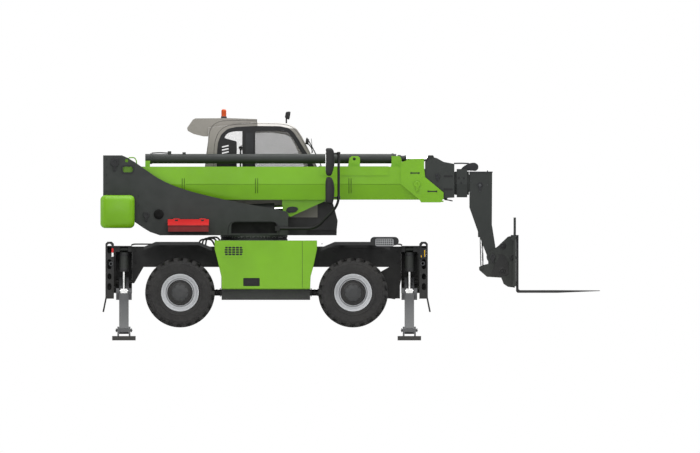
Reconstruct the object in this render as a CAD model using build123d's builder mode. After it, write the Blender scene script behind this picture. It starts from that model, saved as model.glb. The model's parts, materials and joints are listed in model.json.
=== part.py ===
from build123d import *
import math
import os

# A rotating telehandler, parked on its four outriggers with the boom lowered and facing forward.
# X points forward along the boom, Y to the left, where the cab is, and Z up from the ground. Millimetres.

os.makedirs("parts", exist_ok=True)

# Driving sizes: wheels and axles
wheel_base = 2562
front_axle_x = 46
axle_z = 707
tyre_radius = 518
tyre_width = 400
rim_radius = 279
wheel_y = 1015
kingpin_y = 865

# Driving sizes: chassis
frame_half_width = 420
frame_bottom_z = 1086
frame_top_z = 1390
deck_z = 1479
housing_half_width = 1150
chassis_middle_x = -1234
outrigger_reach = 1850

# Driving sizes: turret, boom and cab
slew_x = -1421
ring_radius = 497
turret_bottom_z = 1555
boom_y = -200
boom_width = 420
boom_bottom_z = 2082
boom_top_z = 2572
plate_spread = 500
cab_inner_y = 170
cab_outer_y = 1150

# Clearances: fixed seats and running fits, and the least gap between pieces that pass each other
seat = 0.3
fit = 0.3
passing = 6

rear_axle_x = front_axle_x - wheel_base
slew_z = turret_bottom_z - 25


def side_plane(y):
    """The plane of the side view at this y: local x along X, local y along Z, facing the right side."""
    return Plane.XZ.offset(-y)


def outline(plane, points):
    """A face bounded by straight lines through these points."""
    with BuildSketch(plane) as face:
        with BuildLine():
            Polyline(*points, close=True)
        make_face()
    return face.sketch


def plate(points, y, thickness, mode=Mode.ADD):
    """A plate with this outline in the side view, centred on y."""
    extrude(outline(side_plane(y), points), amount=thickness / 2, both=True, mode=mode)


def cross_plate(points, x, thickness, mode=Mode.ADD):
    """A plate with this outline in the view from the front (y, z), centred on x."""
    extrude(outline(Plane.YZ.offset(x), points), amount=thickness / 2, both=True, mode=mode)


def block(x, y, z, mode=Mode.ADD):
    """A box between these pairs of coordinates."""
    with Locations(tuple((a + b) / 2 for a, b in (x, y, z))):
        Box(*[abs(b - a) for a, b in (x, y, z)], mode=mode)


def bar_x(y, z, radius, x_start, x_end, mode=Mode.ADD):
    """A round bar, pin or bore along X."""
    with Locations(Location(((x_start + x_end) / 2, y, z), (0, 90, 0))):
        Cylinder(radius, abs(x_end - x_start), mode=mode)


def bar_y(x, z, radius, y_start, y_end, mode=Mode.ADD):
    """A round bar, pin or bore along Y."""
    with Locations(Location((x, (y_start + y_end) / 2, z), (90, 0, 0))):
        Cylinder(radius, abs(y_end - y_start), mode=mode)


def bar_z(x, y, radius, z_start, z_end, mode=Mode.ADD):
    """An upright round bar, pin or bore."""
    with Locations((x, y, (z_start + z_end) / 2)):
        Cylinder(radius, abs(z_end - z_start), mode=mode)


def bar_between(start, end, radius, mode=Mode.ADD):
    """A round bar, or bore, from one point to another."""
    axis = Vector(*end) - Vector(*start)
    with BuildSketch(Plane(origin=start, z_dir=axis)) as section:
        Circle(radius)
    extrude(section.sketch, amount=axis.length, mode=mode)


def turned(profile, mode=Mode.ADD):
    """A turned piece about the Y axis, from points given as (y, radius)."""
    face = outline(Plane(origin=(0, 0, 0), x_dir=(0, 1, 0), z_dir=(1, 0, 0)), profile)
    revolve(face, axis=Axis.Y, mode=mode)


def save(part, name):
    part.label = name
    export_step(part, f"parts/{name}.step")


# Wheels, at the origin with the outer face towards +Y
lug_count = 22
lug_depth = 44
lug_width = 56
lug_skew = 60
tread_half_width = 165
bead_half_width = 136

with BuildPart() as tyre:
    carcass_radius = tyre_radius - lug_depth
    half = tyre_width / 2
    bead = bead_half_width - seat
    shoulder = [(165, carcass_radius), (188, carcass_radius - 25), (half, 400), (194, 330), (152, rim_radius + seat)]
    inner = [(bead, rim_radius + seat), (bead, 262 + seat)]
    right = shoulder + inner
    left = [(-y, r) for y, r in reversed(right)]
    turned(right + left)
    for side in (1, -1):
        lug_top = tyre_radius - 3
        foot = [
            (-lug_skew / 2 - lug_width / 2, side * tread_half_width),
            (-lug_skew / 2 + lug_width / 2, side * tread_half_width),
            (lug_skew / 2 + lug_width / 2, side * 20),
            (lug_skew / 2 - lug_width / 2, side * 20),
        ]
        lug_root = outline(Plane.XY.offset(carcass_radius - 20), foot)
        lug = extrude(lug_root, amount=lug_top - carcass_radius + 20, mode=Mode.PRIVATE)
        turn = 0 if side > 0 else 180 / lug_count
        with Locations([Location((0, 0, 0), (0, turn + i * 360 / lug_count, 0)) for i in range(lug_count)]):
            add(lug)

with BuildPart() as rim:
    barrel = [(-150, 279), (-138, 279), (-136, 262), (-90, 252), (90, 252), (136, 262), (138, 279), (150, 279)]
    disc = [(150, 268), (100, 240), (60, 240), (48, 190), (48, 50), (30, 50), (30, 196), (42, 240)]
    back = [(-100, 240), (-150, 268)]
    turned(barrel + disc + back)
    hub = [(-50, 62), (-50, 120), (40, 120), (40, 186), (78, 186), (88, 176), (88, 150), (120, 150)]
    cap = [(124, 131), (142, 125), (150, 60), (150, 0), (20, 0), (20, 62)]
    turned(hub + cap)

# Steering knuckle, at the kingpin with the wheel towards +Y
knuckle_body_radius = 62
spindle_radius = 62 - fit
fork_gap_half = 118
fork_lug = 40

with BuildPart() as knuckle:
    Cylinder(knuckle_body_radius, 2 * (fork_gap_half - 0.5))
    Cylinder(24, 2 * (fork_gap_half + fork_lug))
    bar_y(0, 0, 80, 0, 66)
    bar_y(0, 0, 125, 65, 95)
    bar_y(0, 0, spindle_radius, 90, 168)

corners = {
    "front_left": (front_axle_x, 1),
    "front_right": (front_axle_x, -1),
    "rear_left": (rear_axle_x, 1),
    "rear_right": (rear_axle_x, -1),
}


def at_corner(part, x, y, z, side):
    """A copy of a left-hand part at this place, mirrored for the right side."""
    placed = Pos(x, y, z) * part
    return placed if side > 0 else mirror(placed, about=Plane.XZ)


for corner, (x, side) in corners.items():
    save(at_corner(tyre.part, x, wheel_y, axle_z, side), f"tyre_{corner}")
    save(at_corner(rim.part, x, wheel_y, axle_z, side), f"rim_{corner}")
    save(at_corner(knuckle.part, x, kingpin_y, axle_z, side), f"knuckle_{corner}")

# Axles: a beam with a differential bowl, and a fork at each end for the knuckle
with BuildPart() as axles:
    for x in (rear_axle_x, front_axle_x):
        with Locations((x, 0, axle_z)):
            Sphere(185)
            Box(180, 760, 150)
        bar_y(x, axle_z, 92, -kingpin_y + 90, kingpin_y - 90)
        for side in (1, -1):
            reach = kingpin_y - 90
            for z in (axle_z + fork_gap_half, axle_z - fork_gap_half - fork_lug):
                block((x - 56, x + 56), (side * (reach - 35), side * kingpin_y), (z, z + fork_lug))
                with Locations((x, side * kingpin_y, z + fork_lug / 2)):
                    Cylinder(56, fork_lug)
            block((x - 70, x + 70), (side * (reach - 40), side * reach), (axle_z - 158, axle_z + 158))
            with Locations((x, side * kingpin_y, axle_z)):
                Cylinder(24 + fit, 500, mode=Mode.SUBTRACT)
        for side in (1, -1):
            block((x - 80, x + 80), (side * 210, side * 330), (axle_z + 60, frame_bottom_z - seat))
    bar_x(0, axle_z, 45, rear_axle_x, front_axle_x)
save(axles.part, "axles")

# Chassis frame: two side plates, closed above and below, on the belly that joins the axles
frame_rear_x = -3226
frame_front_x = 2 * chassis_middle_x - frame_rear_x
belly = (-1905, -590)
belly_bottom_z = 650
pedestal_radius = 520

with BuildPart() as chassis_frame:
    beam = [
        (frame_rear_x, 845), (frame_rear_x + 32, 845), (-3055, frame_bottom_z), (belly[0], frame_bottom_z),
        (belly[0], belly_bottom_z), (belly[1], belly_bottom_z), (belly[1], frame_bottom_z),
        (577, frame_bottom_z), (459, 1020), (459, 640), (666, 608), (740, 814), (frame_front_x, 900),
        (frame_front_x, frame_top_z), (frame_rear_x, frame_top_z),
    ]
    for side in (1, -1):
        plate(beam, side * (frame_half_width - 12), 24)
    inside = (-frame_half_width + 12, frame_half_width - 12)
    block((frame_rear_x, frame_front_x), inside, (frame_top_z - 25, frame_top_z))
    block((frame_rear_x, belly[0] + 10), inside, (frame_bottom_z, frame_bottom_z + 20))
    block((belly[1] - 10, 577), inside, (frame_bottom_z, frame_bottom_z + 20))
    block((belly[0], belly[1]), inside, (belly_bottom_z, belly_bottom_z + 20))
    for x in (belly[0], belly[1] - 25):
        block((x, x + 25), inside, (belly_bottom_z, frame_top_z))
    block((459, 740), inside, (620, 1010))
    with Locations((slew_x, 0, frame_top_z - 10)):
        Cylinder(pedestal_radius, deck_z - frame_top_z + 10, align=(Align.CENTER, Align.CENTER, Align.MIN))
    with Locations((0, 0, axle_z)):
        Box(9000, 120, 120, mode=Mode.SUBTRACT)
save(chassis_frame.part, "chassis_frame")

# Side housings: the left one closed, the right one open under its hinged cover
housing = [
    (-2004, deck_z), (-488, deck_z), (-488, 1354), (-542, 1094), (-583, 941), (-589, 764),
    (-1899, 764), (-1905, 941), (-1939, 1094), (-2004, 1354),
]
skin = 24
cover_gap = 22
cover_hinge = (-1115, deck_z - 8)
cover_hinge_x = (-1800, -700)
hinge_pin_radius = 4
deck = (deck_z - 40, deck_z)


def shrunk(points, amount):
    """The housing's outline moved inwards by about this amount."""
    middle_x = (points[0][0] + points[1][0]) / 2
    middle_z = (deck_z + 764) / 2
    return [
        (x - math.copysign(amount, x - middle_x), z - math.copysign(amount, z - middle_z)) for x, z in points
    ]


with BuildPart() as side_housings:
    depth = housing_half_width - frame_half_width
    left_y = (frame_half_width + housing_half_width) / 2 + seat / 2
    plate(housing, left_y, depth - seat)
    plate(shrunk(housing, skin), left_y - skin, depth - seat, mode=Mode.SUBTRACT)
    open_depth = depth - skin - cover_gap
    right_y = -frame_half_width - seat - open_depth / 2
    plate(housing, right_y, open_depth)
    plate(shrunk(housing, skin), right_y, open_depth + 2, mode=Mode.SUBTRACT)
    bar_z(slew_x, 0, pedestal_radius + seat, frame_bottom_z, 1600, mode=Mode.SUBTRACT)
    for side in (1, -1):
        sill = ((-1900, -590), (side * (frame_half_width + seat), side * 800), (599, 755))
        block(*sill)
        block((sill[0][0] + 10, sill[0][1] - 10), (side * 600, side * 795), (750, 766))
    deck_edge_y = right_y - open_depth / 2
    for x in cover_hinge_x:
        bar_x(*cover_hinge, hinge_pin_radius, x - 50, x + 50)
        for start in (x - 50, x + 30 + seat):
            block((start, start + 20 - seat), (cover_hinge[0] - 4, deck_edge_y + 10), (cover_hinge[1] - 6, deck_z))
save(side_housings.part, "side_housings")

# The right cover hangs from its top edge
grille = ((-1887, -1555), (1242, 1402))
latch = ((-1582, -1335), (802, 925))
cover_y = -housing_half_width + skin / 2

with BuildPart() as side_cover_right:
    plate(shrunk(housing, 3), cover_y, skin)
    with BuildSketch(side_plane(-housing_half_width)):
        with Locations((sum(latch[0]) / 2, sum(latch[1]) / 2)):
            RectangleRounded(latch[0][1] - latch[0][0], latch[1][1] - latch[1][0], 15)
    extrude(amount=-14, mode=Mode.SUBTRACT)
    with BuildSketch(side_plane(-housing_half_width)):
        with Locations((sum(grille[0]) / 2, sum(grille[1]) / 2)):
            for row in range(5):
                with Locations((0, 52 - row * 26)):
                    SlotOverall(330 - 30 * abs(row - 2), 14)
    extrude(amount=-skin, mode=Mode.SUBTRACT)
    for x in cover_hinge_x:
        bar_x(*cover_hinge, 8, x - 30, x + 30)
        block((x - 30, x + 30), (cover_y, cover_hinge[0]), (cover_hinge[1] - 7, cover_hinge[1] - 1))
        bar_x(*cover_hinge, hinge_pin_radius + fit, x - 40, x + 40, mode=Mode.SUBTRACT)
save(side_cover_right.part, "side_cover_right")

with BuildPart() as engine:
    block((-1800, -700), (-1050, -450), (790, 1380))
save(engine.part, "engine")

# Slew ring with its gear
tooth_count = 60
with BuildPart() as slew_ring:
    with Locations((slew_x, 0, deck_z + seat)):
        Cylinder(ring_radius, 21, align=(Align.CENTER, Align.CENTER, Align.MIN))
    with BuildSketch(Plane.XY.offset(deck_z + 20)):
        with Locations((slew_x, 0)):
            Circle(ring_radius - 22)
            with PolarLocations(ring_radius - 22, tooth_count):
                Rectangle(28, 24)
    extrude(amount=slew_z - deck_z - 20)
    with Locations((slew_x, 0, slew_z)):
        Cylinder(330, 200, mode=Mode.SUBTRACT)
save(slew_ring.part, "slew_ring")

# Wheel guards, with a boarding step on each front one
guard_inner_y = 600
guard_outer_y = 1205
guard_sheet = 12
guard_lip = 49
guard_path = [(-3055, 1384), (-2877, 1459), (-2242, 1459), (-2044, 1375)]
step_x = (300, 722)
step_top_z = 1532
step_inner_y = 920


def mirrored_x(points):
    """Points of the rear end moved to the front end."""
    return [(2 * chassis_middle_x - x, z) for x, z in points]


def band(points, depth):
    """A strip under this open line, with an even depth."""
    return points + [(x, z - depth) for x, z in reversed(points)]


with BuildPart() as wheel_guards:
    for path in (guard_path, mirrored_x(guard_path)):
        middle_x = (path[1][0] + path[2][0]) / 2
        for side in (1, -1):
            plate(band(path, guard_sheet), side * (guard_inner_y + guard_outer_y) / 2, guard_outer_y - guard_inner_y)
            plate(band(path, guard_lip), side * (guard_outer_y - 6), 12)
            for x in (middle_x - 240, middle_x + 180):
                stay = ((x, x + 60), (side * 330, side * 640), (frame_top_z + seat, 1459 - guard_sheet + 2))
                block(*stay)
    for side in (1, -1):
        with BuildSketch(side_plane(side * (step_inner_y + guard_outer_y) / 2)):
            with Locations((sum(step_x) / 2, (1405 + step_top_z) / 2)):
                step_face = Rectangle(step_x[1] - step_x[0], step_top_z - 1405)
            fillet(step_face.vertices().group_by(Axis.Z)[-1], 60)
        extrude(amount=(guard_outer_y - step_inner_y) / 2, both=True)
        block((380, 641), (side * 960, side * 1170), (step_top_z - 6, step_top_z + 10), mode=Mode.SUBTRACT)
save(wheel_guards.part, "wheel_guards")

# Outrigger frames: a folded end plate, cheeks for the leg pivots and a beam for the cylinders
leg_x_rear = -3346
leg_half = 70.5
leg_pivot = (560, 872)
rod_eye = (800, 732)
cylinder_top = (800, 1352)
foot = (outrigger_reach, 150)
end_plate_x = (-3620, -3494)
end_plate_half_width = 860
ear_outer = 116


def flange_slot(z_low, z_high):
    """Cuts one slot through the end plate's two side flanges."""
    with BuildSketch(side_plane(0)) as slot:
        with Locations((sum(end_plate_x) / 2 - 4, (z_low + z_high) / 2)):
            SlotOverall(z_high - z_low, 62, rotation=90)
    extrude(slot.sketch, amount=1000, both=True, mode=Mode.SUBTRACT)


with BuildPart() as outrigger_frame:
    wall = 14
    width = (-end_plate_half_width, end_plate_half_width)
    flange = [
        (end_plate_x[0], 617), (end_plate_x[1], 617), (end_plate_x[1], 1430), (end_plate_x[1] - 30, 1461),
        (end_plate_x[0] + 30, 1461), (end_plate_x[0], 1430),
    ]
    plate(flange, 0, 2 * end_plate_half_width)
    pocket = ((end_plate_x[0] + wall, end_plate_x[1] + 1), (width[0] + wall, width[1] - wall), (617 + wall, 1425))
    block(*pocket, mode=Mode.SUBTRACT)
    for z_low, z_high in ((1288, 1430), (1054, 1202), (902, 990), (744, 846)):
        flange_slot(z_low, z_high)
    tail = [(-3620, 640), (-3664, 423), (-3640, 418), (-3596, 640)]
    plate(tail, 0, 900)
    for side in (1, -1):
        rear_cheek = (leg_x_rear - 145, leg_x_rear - 122)
        front_cheek = (leg_x_rear + 119, frame_rear_x - seat)
        for cheek in (rear_cheek, front_cheek):
            sheet = [
                (side * 300, 700), (side * 620, 800), (side * 880, 1290), (side * 880, 1400), (side * 300, 1400),
            ]
            cross_plate(sheet, sum(cheek) / 2, abs(cheek[1] - cheek[0]))
        bar_x(side * leg_pivot[0], leg_pivot[1], 34, rear_cheek[0], front_cheek[1])
        block((rear_cheek[0], front_cheek[1]), (side * 300, side * 900), (1394 - 8, 1400))
        for x in (leg_x_rear - 122, leg_x_rear + 60):
            block((x, x + 62), (side * 750, side * 850), (1311, 1394))
        bar_x(side * cylinder_top[0], cylinder_top[1], 20, rear_cheek[0], front_cheek[1])
    for y in (-380, 380):
        block((end_plate_x[0] + 2, frame_rear_x - seat), (y - 15, y + 15), (700, 1400))
with BuildPart() as outrigger_frames:
    add(outrigger_frame.part)
    mirror(about=Plane.YZ.offset(chassis_middle_x))
save(outrigger_frames.part, "outrigger_frames")

# Outrigger legs, each with its foot pad, and the cylinders that push them down
pad_half = 174
notch_half = leg_half - 12

with BuildPart() as leg_left:
    px, pz = leg_pivot
    ex, ez = rod_eye
    fx, fz = foot
    arm = [
        (px - 50, pz - 55), (px + 60, pz - 130), (fx - 60, fz - 55), (fx + 45, fz - 30),
        (fx + 45, fz + 35), (ex + 70, ez - 42), (px + 20, pz + 62), (px - 50, pz + 40),
    ]
    cross_plate(arm, leg_x_rear, 2 * leg_half)
    bar_x(px, pz, 62, leg_x_rear - leg_half, leg_x_rear + leg_half)
    for direction in (-1, 1):
        ear_x = leg_x_rear + direction * (leg_half + ear_outer) / 2
        ear = [(ex - 90, ez - 60), (ex + 20, ez - 133), (ex + 60, ez - 20), (ex + 30, ez + 39), (ex - 40, ez + 39)]
        cross_plate(ear, ear_x, ear_outer - leg_half)
    notch = [(ex - 70, ez - 48), (ex + 62, ez - 48), (ex + 62, ez + 80), (ex - 70, ez + 80)]
    cross_plate(notch, leg_x_rear, 2 * notch_half, mode=Mode.SUBTRACT)
    bar_x(px, pz, 34 + fit, leg_x_rear - 200, leg_x_rear + 200, mode=Mode.SUBTRACT)
    for direction in (-1, 1):
        foot_x = leg_x_rear + direction * 84
        toe = [(fx - 50, 64), (fx + 50, 64), (fx + 40, fz + 54), (fx - 40, fz + 54)]
        cross_plate(toe, foot_x, 26)
    bar_x(fx, fz, 22, leg_x_rear - 110, leg_x_rear + 110)
    block((leg_x_rear - pad_half, leg_x_rear + pad_half), (fx - pad_half, fx + pad_half), (0, 65))

barrel_end_z = 1015
rod_radius = 23
with BuildPart() as leg_barrel_left:
    ty, tz = cylinder_top
    with Locations((leg_x_rear, ty, barrel_end_z)):
        Cylinder(68, tz - 50 - barrel_end_z, align=(Align.CENTER, Align.CENTER, Align.MIN))
    bar_x(ty, tz, 32, leg_x_rear - 55, leg_x_rear + 55)
    with Locations((leg_x_rear, ty, barrel_end_z - 1)):
        Cylinder(rod_radius + fit, 275, align=(Align.CENTER, Align.CENTER, Align.MIN), mode=Mode.SUBTRACT)
    bar_x(ty, tz, 20 + fit, leg_x_rear - 60, leg_x_rear + 60, mode=Mode.SUBTRACT)

with BuildPart() as leg_rod_left:
    with Locations((leg_x_rear, *rod_eye)):
        Cylinder(rod_radius, barrel_end_z + 20 - rod_eye[1], align=(Align.CENTER, Align.CENTER, Align.MIN))
        Box(99, 66, 66)
    bar_x(rod_eye[0], rod_eye[1], 20, leg_x_rear - notch_half + seat, leg_x_rear + notch_half - seat)

for name, part in (("outrigger_leg", leg_left), ("leg_barrel", leg_barrel_left), ("leg_rod", leg_rod_left)):
    for end in ("rear", "front"):
        for hand in ("left", "right"):
            piece = part.part if end == "rear" else mirror(part.part, about=Plane.YZ.offset(chassis_middle_x))
            piece = piece if hand == "left" else mirror(piece, about=Plane.XZ)
            save(piece, f"{name}_{end}_{hand}")

# Lamps at both ends of the chassis
with BuildPart() as chassis_lamps:
    for side in (1, -1):
        y = (side * (end_plate_half_width + seat), side * (end_plate_half_width + 60))
        block((-3526, -3493.5), y, (1239, 1363))
        block((1025, 1117), y, (1217, 1368))
save(chassis_lamps.part, "chassis_lamps")

# Turret: two side plates on a base, with the pins that carry the boom and its lift cylinder
boom_pivot = (-3481, 2634)
lift_pin = (-3016, 1857)
plate_thickness = 30
right_plate_y = boom_y - plate_spread / 2 - plate_thickness / 2
left_plate_y = boom_y + plate_spread / 2 + plate_thickness / 2

with BuildPart() as turret_frame:
    with BuildSketch(side_plane(boom_y)):
        with BuildLine():
            Polyline((-3374, 2739), (-3654, 2739), (-3654, 1900), (-3183, 1751), (-3055, 1662), (-2956, 1603), (-2812, 1555), (-915, 1555), (-915, 1860))
            ThreePointArc((-915, 1860), (-934, 1898), (-977, 1915))
            Line((-977, 1915), (-1123, 1948))
            Spline((-1123, 1948), (-2223, 2170), (-2856, 2412), (-3274, 2691), (-3374, 2739))
        make_face()
        with Locations((-1420, 1633)):
            RectangleRounded(674, 236, 60, mode=Mode.SUBTRACT)
        with Locations((-3286, 2529)):
            RectangleRounded(153, 86, 30, mode=Mode.SUBTRACT)
        with Locations((-3306, 2658)):
            Circle(24, mode=Mode.SUBTRACT)
    extrude(amount=plate_spread / 2 + plate_thickness, both=True)
    inside = ((-4000, 0), (boom_y - plate_spread / 2, boom_y + plate_spread / 2), (1000, 3000))
    block(*inside, mode=Mode.SUBTRACT)
    between = inside[1]
    block((-2812, -915), between, (turret_bottom_z, turret_bottom_z + 30))
    block((-2700, -1850), between, (turret_bottom_z + 20, 1700))
    block((-3186, -3150), between, (1755, 2050))
    block((-3186, -2790), between, (1745, 1762))
    with Locations((slew_x, 0, slew_z + seat)):
        Cylinder(ring_radius, turret_bottom_z - slew_z + 20, align=(Align.CENTER, Align.CENTER, Align.MIN))
    for (x, z), radius in ((boom_pivot, 65), (lift_pin, 49)):
        bar_y(x, z, radius, boom_y - 300, boom_y + 300)
    for x in (-1950, -750):
        block((x, x + 110), (left_plate_y, cab_outer_y - 60), (turret_bottom_z + 2, 1627))
    block((-950, -640), (60, 140), (turret_bottom_z + 2, 1627))
    bar_y(-2831, 1868, 71, right_plate_y, right_plate_y - 35)
save(turret_frame.part, "turret_frame")

# Counterweight: three blocks, beside and between the turret plates
counterweight_half_width = 850
counterweight_side = [(-3708.5, 2149), (-3188, 2149), (-3188, 1662), (-3620, 1662)]
plate_outer_right = right_plate_y - plate_thickness / 2
plate_outer_left = left_plate_y + plate_thickness / 2

with BuildPart() as counterweight:
    with BuildSketch(side_plane(0)):
        with BuildLine():
            Polyline(*counterweight_side, close=True)
        make_face()
        fillet(vertices(), 70)
    extrude(amount=counterweight_half_width, both=True)
    fillet(edges().filter_by(Axis.Z, reverse=True).group_by(Axis.Y)[-1], 40)
    for y in (right_plate_y, left_plate_y):
        block((-4000, -3000), (y - 15 - seat, y + 15 + seat), (1500, 2300), mode=Mode.SUBTRACT)
    block((-4000, -3000), (right_plate_y, left_plate_y), (2040, 2300), mode=Mode.SUBTRACT)
save(counterweight.part, "counterweight")

# Toolbox on the right plate, with a sloping lid hinged along the plate
toolbox_x = (-2692, -2094)
toolbox_outer_y = -790
toolbox_bottom_z = 1609
lid_front_z = 1702
lid_rear_z = 1790
lid_hinge = (-495, 1797)
lid_hinge_x = (-2569, -2183)

with BuildPart() as toolbox:
    inner_y = plate_outer_right - seat
    body = [(inner_y, toolbox_bottom_z), (toolbox_outer_y, toolbox_bottom_z), (toolbox_outer_y, lid_front_z - 12), (inner_y, lid_rear_z - 12)]
    cross_plate(body, sum(toolbox_x) / 2, toolbox_x[1] - toolbox_x[0])
    hollow = [(inner_y - 8, toolbox_bottom_z + 8), (toolbox_outer_y + 8, toolbox_bottom_z + 8), (toolbox_outer_y + 8, 1750), (inner_y - 8, 1850)]
    cross_plate(hollow, sum(toolbox_x) / 2, toolbox_x[1] - toolbox_x[0] - 16, mode=Mode.SUBTRACT)
    for x in lid_hinge_x:
        bar_x(*lid_hinge, hinge_pin_radius, x - 50, x + 50)
        for start in (x - 50, x + 30 + seat):
            block((start, start + 20 - seat), (lid_hinge[0], inner_y), (1765, lid_hinge[1] + 6))
save(toolbox.part, "toolbox")

with BuildPart() as toolbox_lid:
    lid_back_y = lid_hinge[0] - 14
    sheet = [
        (lid_back_y, lid_rear_z - 10), (toolbox_outer_y - 8, lid_front_z - 6),
        (toolbox_outer_y - 8, lid_front_z + 8), (lid_back_y, lid_rear_z + 4),
    ]
    cross_plate(sheet, sum(toolbox_x) / 2, toolbox_x[1] - toolbox_x[0] + 10)
    for x in lid_hinge_x:
        bar_x(*lid_hinge, 8, x - 30, x + 30)
        block((x - 30, x + 30), (lid_back_y - 20, lid_hinge[0]), (lid_hinge[1] - 8, lid_hinge[1] - 1))
        bar_x(*lid_hinge, hinge_pin_radius + fit, x - 40, x + 40, mode=Mode.SUBTRACT)
save(toolbox_lid.part, "toolbox_lid")

# Lift cylinder under the boom
lift_eye = (-888, 1960)
lift_barrel_radius = 85
lift_rod_radius = 50
lift_dx = lift_eye[0] - lift_pin[0]
lift_dz = lift_eye[1] - lift_pin[1]
lift_length = math.hypot(lift_dx, lift_dz)
lift_barrel_length = 1900
lift_cheek_inner = 60


def along_lift(distance):
    """The point on the lift cylinder's axis at this distance from its lower pin."""
    share = distance / lift_length
    return (lift_pin[0] + share * lift_dx, boom_y, lift_pin[1] + share * lift_dz)


with BuildPart() as lift_barrel:
    bar_between(along_lift(60), along_lift(lift_barrel_length), lift_barrel_radius)
    bar_y(*lift_pin, 95, boom_y - 75, boom_y + 75)
    bar_between(along_lift(120), along_lift(lift_barrel_length + 1), lift_rod_radius + fit, mode=Mode.SUBTRACT)
    bar_y(*lift_pin, 49 + fit, boom_y - 100, boom_y + 100, mode=Mode.SUBTRACT)
save(lift_barrel.part, "lift_barrel")

with BuildPart() as lift_rod:
    bar_between(along_lift(150), along_lift(lift_length - 40), lift_rod_radius)
    bar_y(*lift_eye, 68, boom_y - 45, boom_y + 45)
    bar_y(*lift_eye, 32, boom_y - lift_cheek_inner + seat, boom_y + lift_cheek_inner - seat)
save(lift_rod.part, "lift_rod")

# Boom: four tubes of one cross-section, each smaller than the one around it
boom_crease_z = 2312
boom_keel_width = 330
boom_step = (0, 35, 75, 118)
boom_wall = 12
pad_length = 70
boom_tail_x = (-3212, -3000, -2860, -2720)
boom_mouth_x = (1090, 1545, 1761, 1800)


def boom_section(shrink):
    """The boom's cross-section (y, z), moved in by this much all round."""
    top = boom_width / 2 - shrink
    keel = boom_keel_width / 2 - shrink
    low, high = boom_bottom_z + shrink, boom_top_z - shrink
    half = [(top, high), (top, boom_crease_z), (keel, low)]
    return [(boom_y + y, z) for y, z in half] + [(boom_y - y, z) for y, z in reversed(half)]


def boom_prism(shrink, x_start, x_end, mode=Mode.ADD):
    """A length of the boom's cross-section between these two places."""
    extrude(outline(Plane.YZ.offset(x_start), boom_section(shrink)), amount=x_end - x_start, mode=mode)


def boom_tube(number):
    """One boom section: a tube, narrowed at its mouth, with sliding pads round its tail."""
    shrink, tail, mouth = boom_step[number], boom_tail_x[number], boom_mouth_x[number]
    boom_prism(shrink, tail, mouth)
    if number:
        boom_prism(boom_step[number - 1] + boom_wall + 0.5, tail, tail + pad_length)
    boom_prism(shrink + boom_wall, tail - 1, mouth - pad_length, mode=Mode.SUBTRACT)
    if number + 1 < len(boom_step):
        boom_prism(boom_step[number + 1] - 0.5, mouth - pad_length - 1, mouth + 1, mode=Mode.SUBTRACT)


def cheeks(points, inner, thickness, mode=Mode.ADD):
    """A pair of plates, one on each side of the boom, with their inner faces this far from its centre."""
    for side in (1, -1):
        plate(points, boom_y + side * (inner + thickness / 2), thickness, mode)


telescope_z = 2689
telescope_radius = 71
telescope_rod_radius = 40
telescope_end_x = 685

with BuildPart() as boom_base:
    boom_tube(0)
    head = [
        (749, 2636), (919, 2685), (1077, 2694), (1097, 2673), (1097, 2560), (1111, 2417),
        (1384, 2190), (1384, 2099), (1338, 2042), (1051, 2042), (1036, 2072), (756, 2310),
    ]
    cheeks(head, boom_width / 2 - 2, 20)
    block((1051, 1384), (boom_y - 212, boom_y + 212), (2048, 2070))
    cheeks([(-444, 2560), (-444, 2577), (570, 2577), (570, 2440), (-444, 2440)], boom_width / 2 - 2, 10)
    bracket = [(-1009, 2090), (-373, 2090), (-373, 2060), (-884, 1828), (-992, 1908), (-1009, 2069)]
    cheeks(bracket, lift_cheek_inner, 24)
    cheeks([(-3212, 2560), (-3010, 2565), (-3010, 2300), (-3212, 2300), (-3500, 2560), (-3560, 2640), (-3480, 2720), (-3400, 2700)], 150, 30)
    bar_y(*boom_pivot, 95, boom_y - 225, boom_y + 225)
    for side in (1, -1):
        bar_y(*lift_eye, 45, boom_y + side * lift_cheek_inner, boom_y + side * 95)
    lug = [(-30, 2571), (-9, 2700), (30, 2728), (120, 2728), (148, 2700), (148, 2571)]
    plate(lug, boom_y - 150, 30)
    bar_y(64, 2685, 22, boom_y - 300, boom_y, mode=Mode.SUBTRACT)
    block((-3031, -2960), (boom_y - 100, boom_y + 100), (2570, 2660))
    block((614, 660), (boom_y - 90, boom_y + 90), (2570, 2730))
    bar_x(boom_y, telescope_z, telescope_radius + seat, -3100, 700, mode=Mode.SUBTRACT)
    bar_y(*boom_pivot, 65 + fit, boom_y - 300, boom_y + 300, mode=Mode.SUBTRACT)
save(boom_base.part, "boom_base")

with BuildPart() as boom_section_2:
    boom_tube(1)
    head = [
        (1111, 2605), (1134, 2658), (1255, 2707), (1292, 2695), (1384, 2643), (1545, 2612),
        (1545, 2113), (1391, 2106), (1384, 2198), (1111, 2408),
    ]
    cheeks(head, boom_width / 2 - boom_step[1] - 2, 20)
    block((1400, 1545), (boom_y - 190, boom_y + 190), (2530, 2550))
    cheeks([(1111, 2530), (1111, 2640), (1160, 2740), (1230, 2740), (1280, 2640), (1280, 2530)], 50, 20)
    bar_y(1195, telescope_z, 25, boom_y - 70, boom_y + 70)
save(boom_section_2.part, "boom_section_2")

with BuildPart() as boom_section_3:
    boom_tube(2)
    mouth = boom_step[3] - 0.5
    boom_prism(boom_step[2] - 3, 1557, boom_mouth_x[2])
    boom_prism(boom_step[2] - 40, 1579, 1735)
    boom_prism(mouth, 1500, 1800, mode=Mode.SUBTRACT)
save(boom_section_3.part, "boom_section_3")

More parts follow.
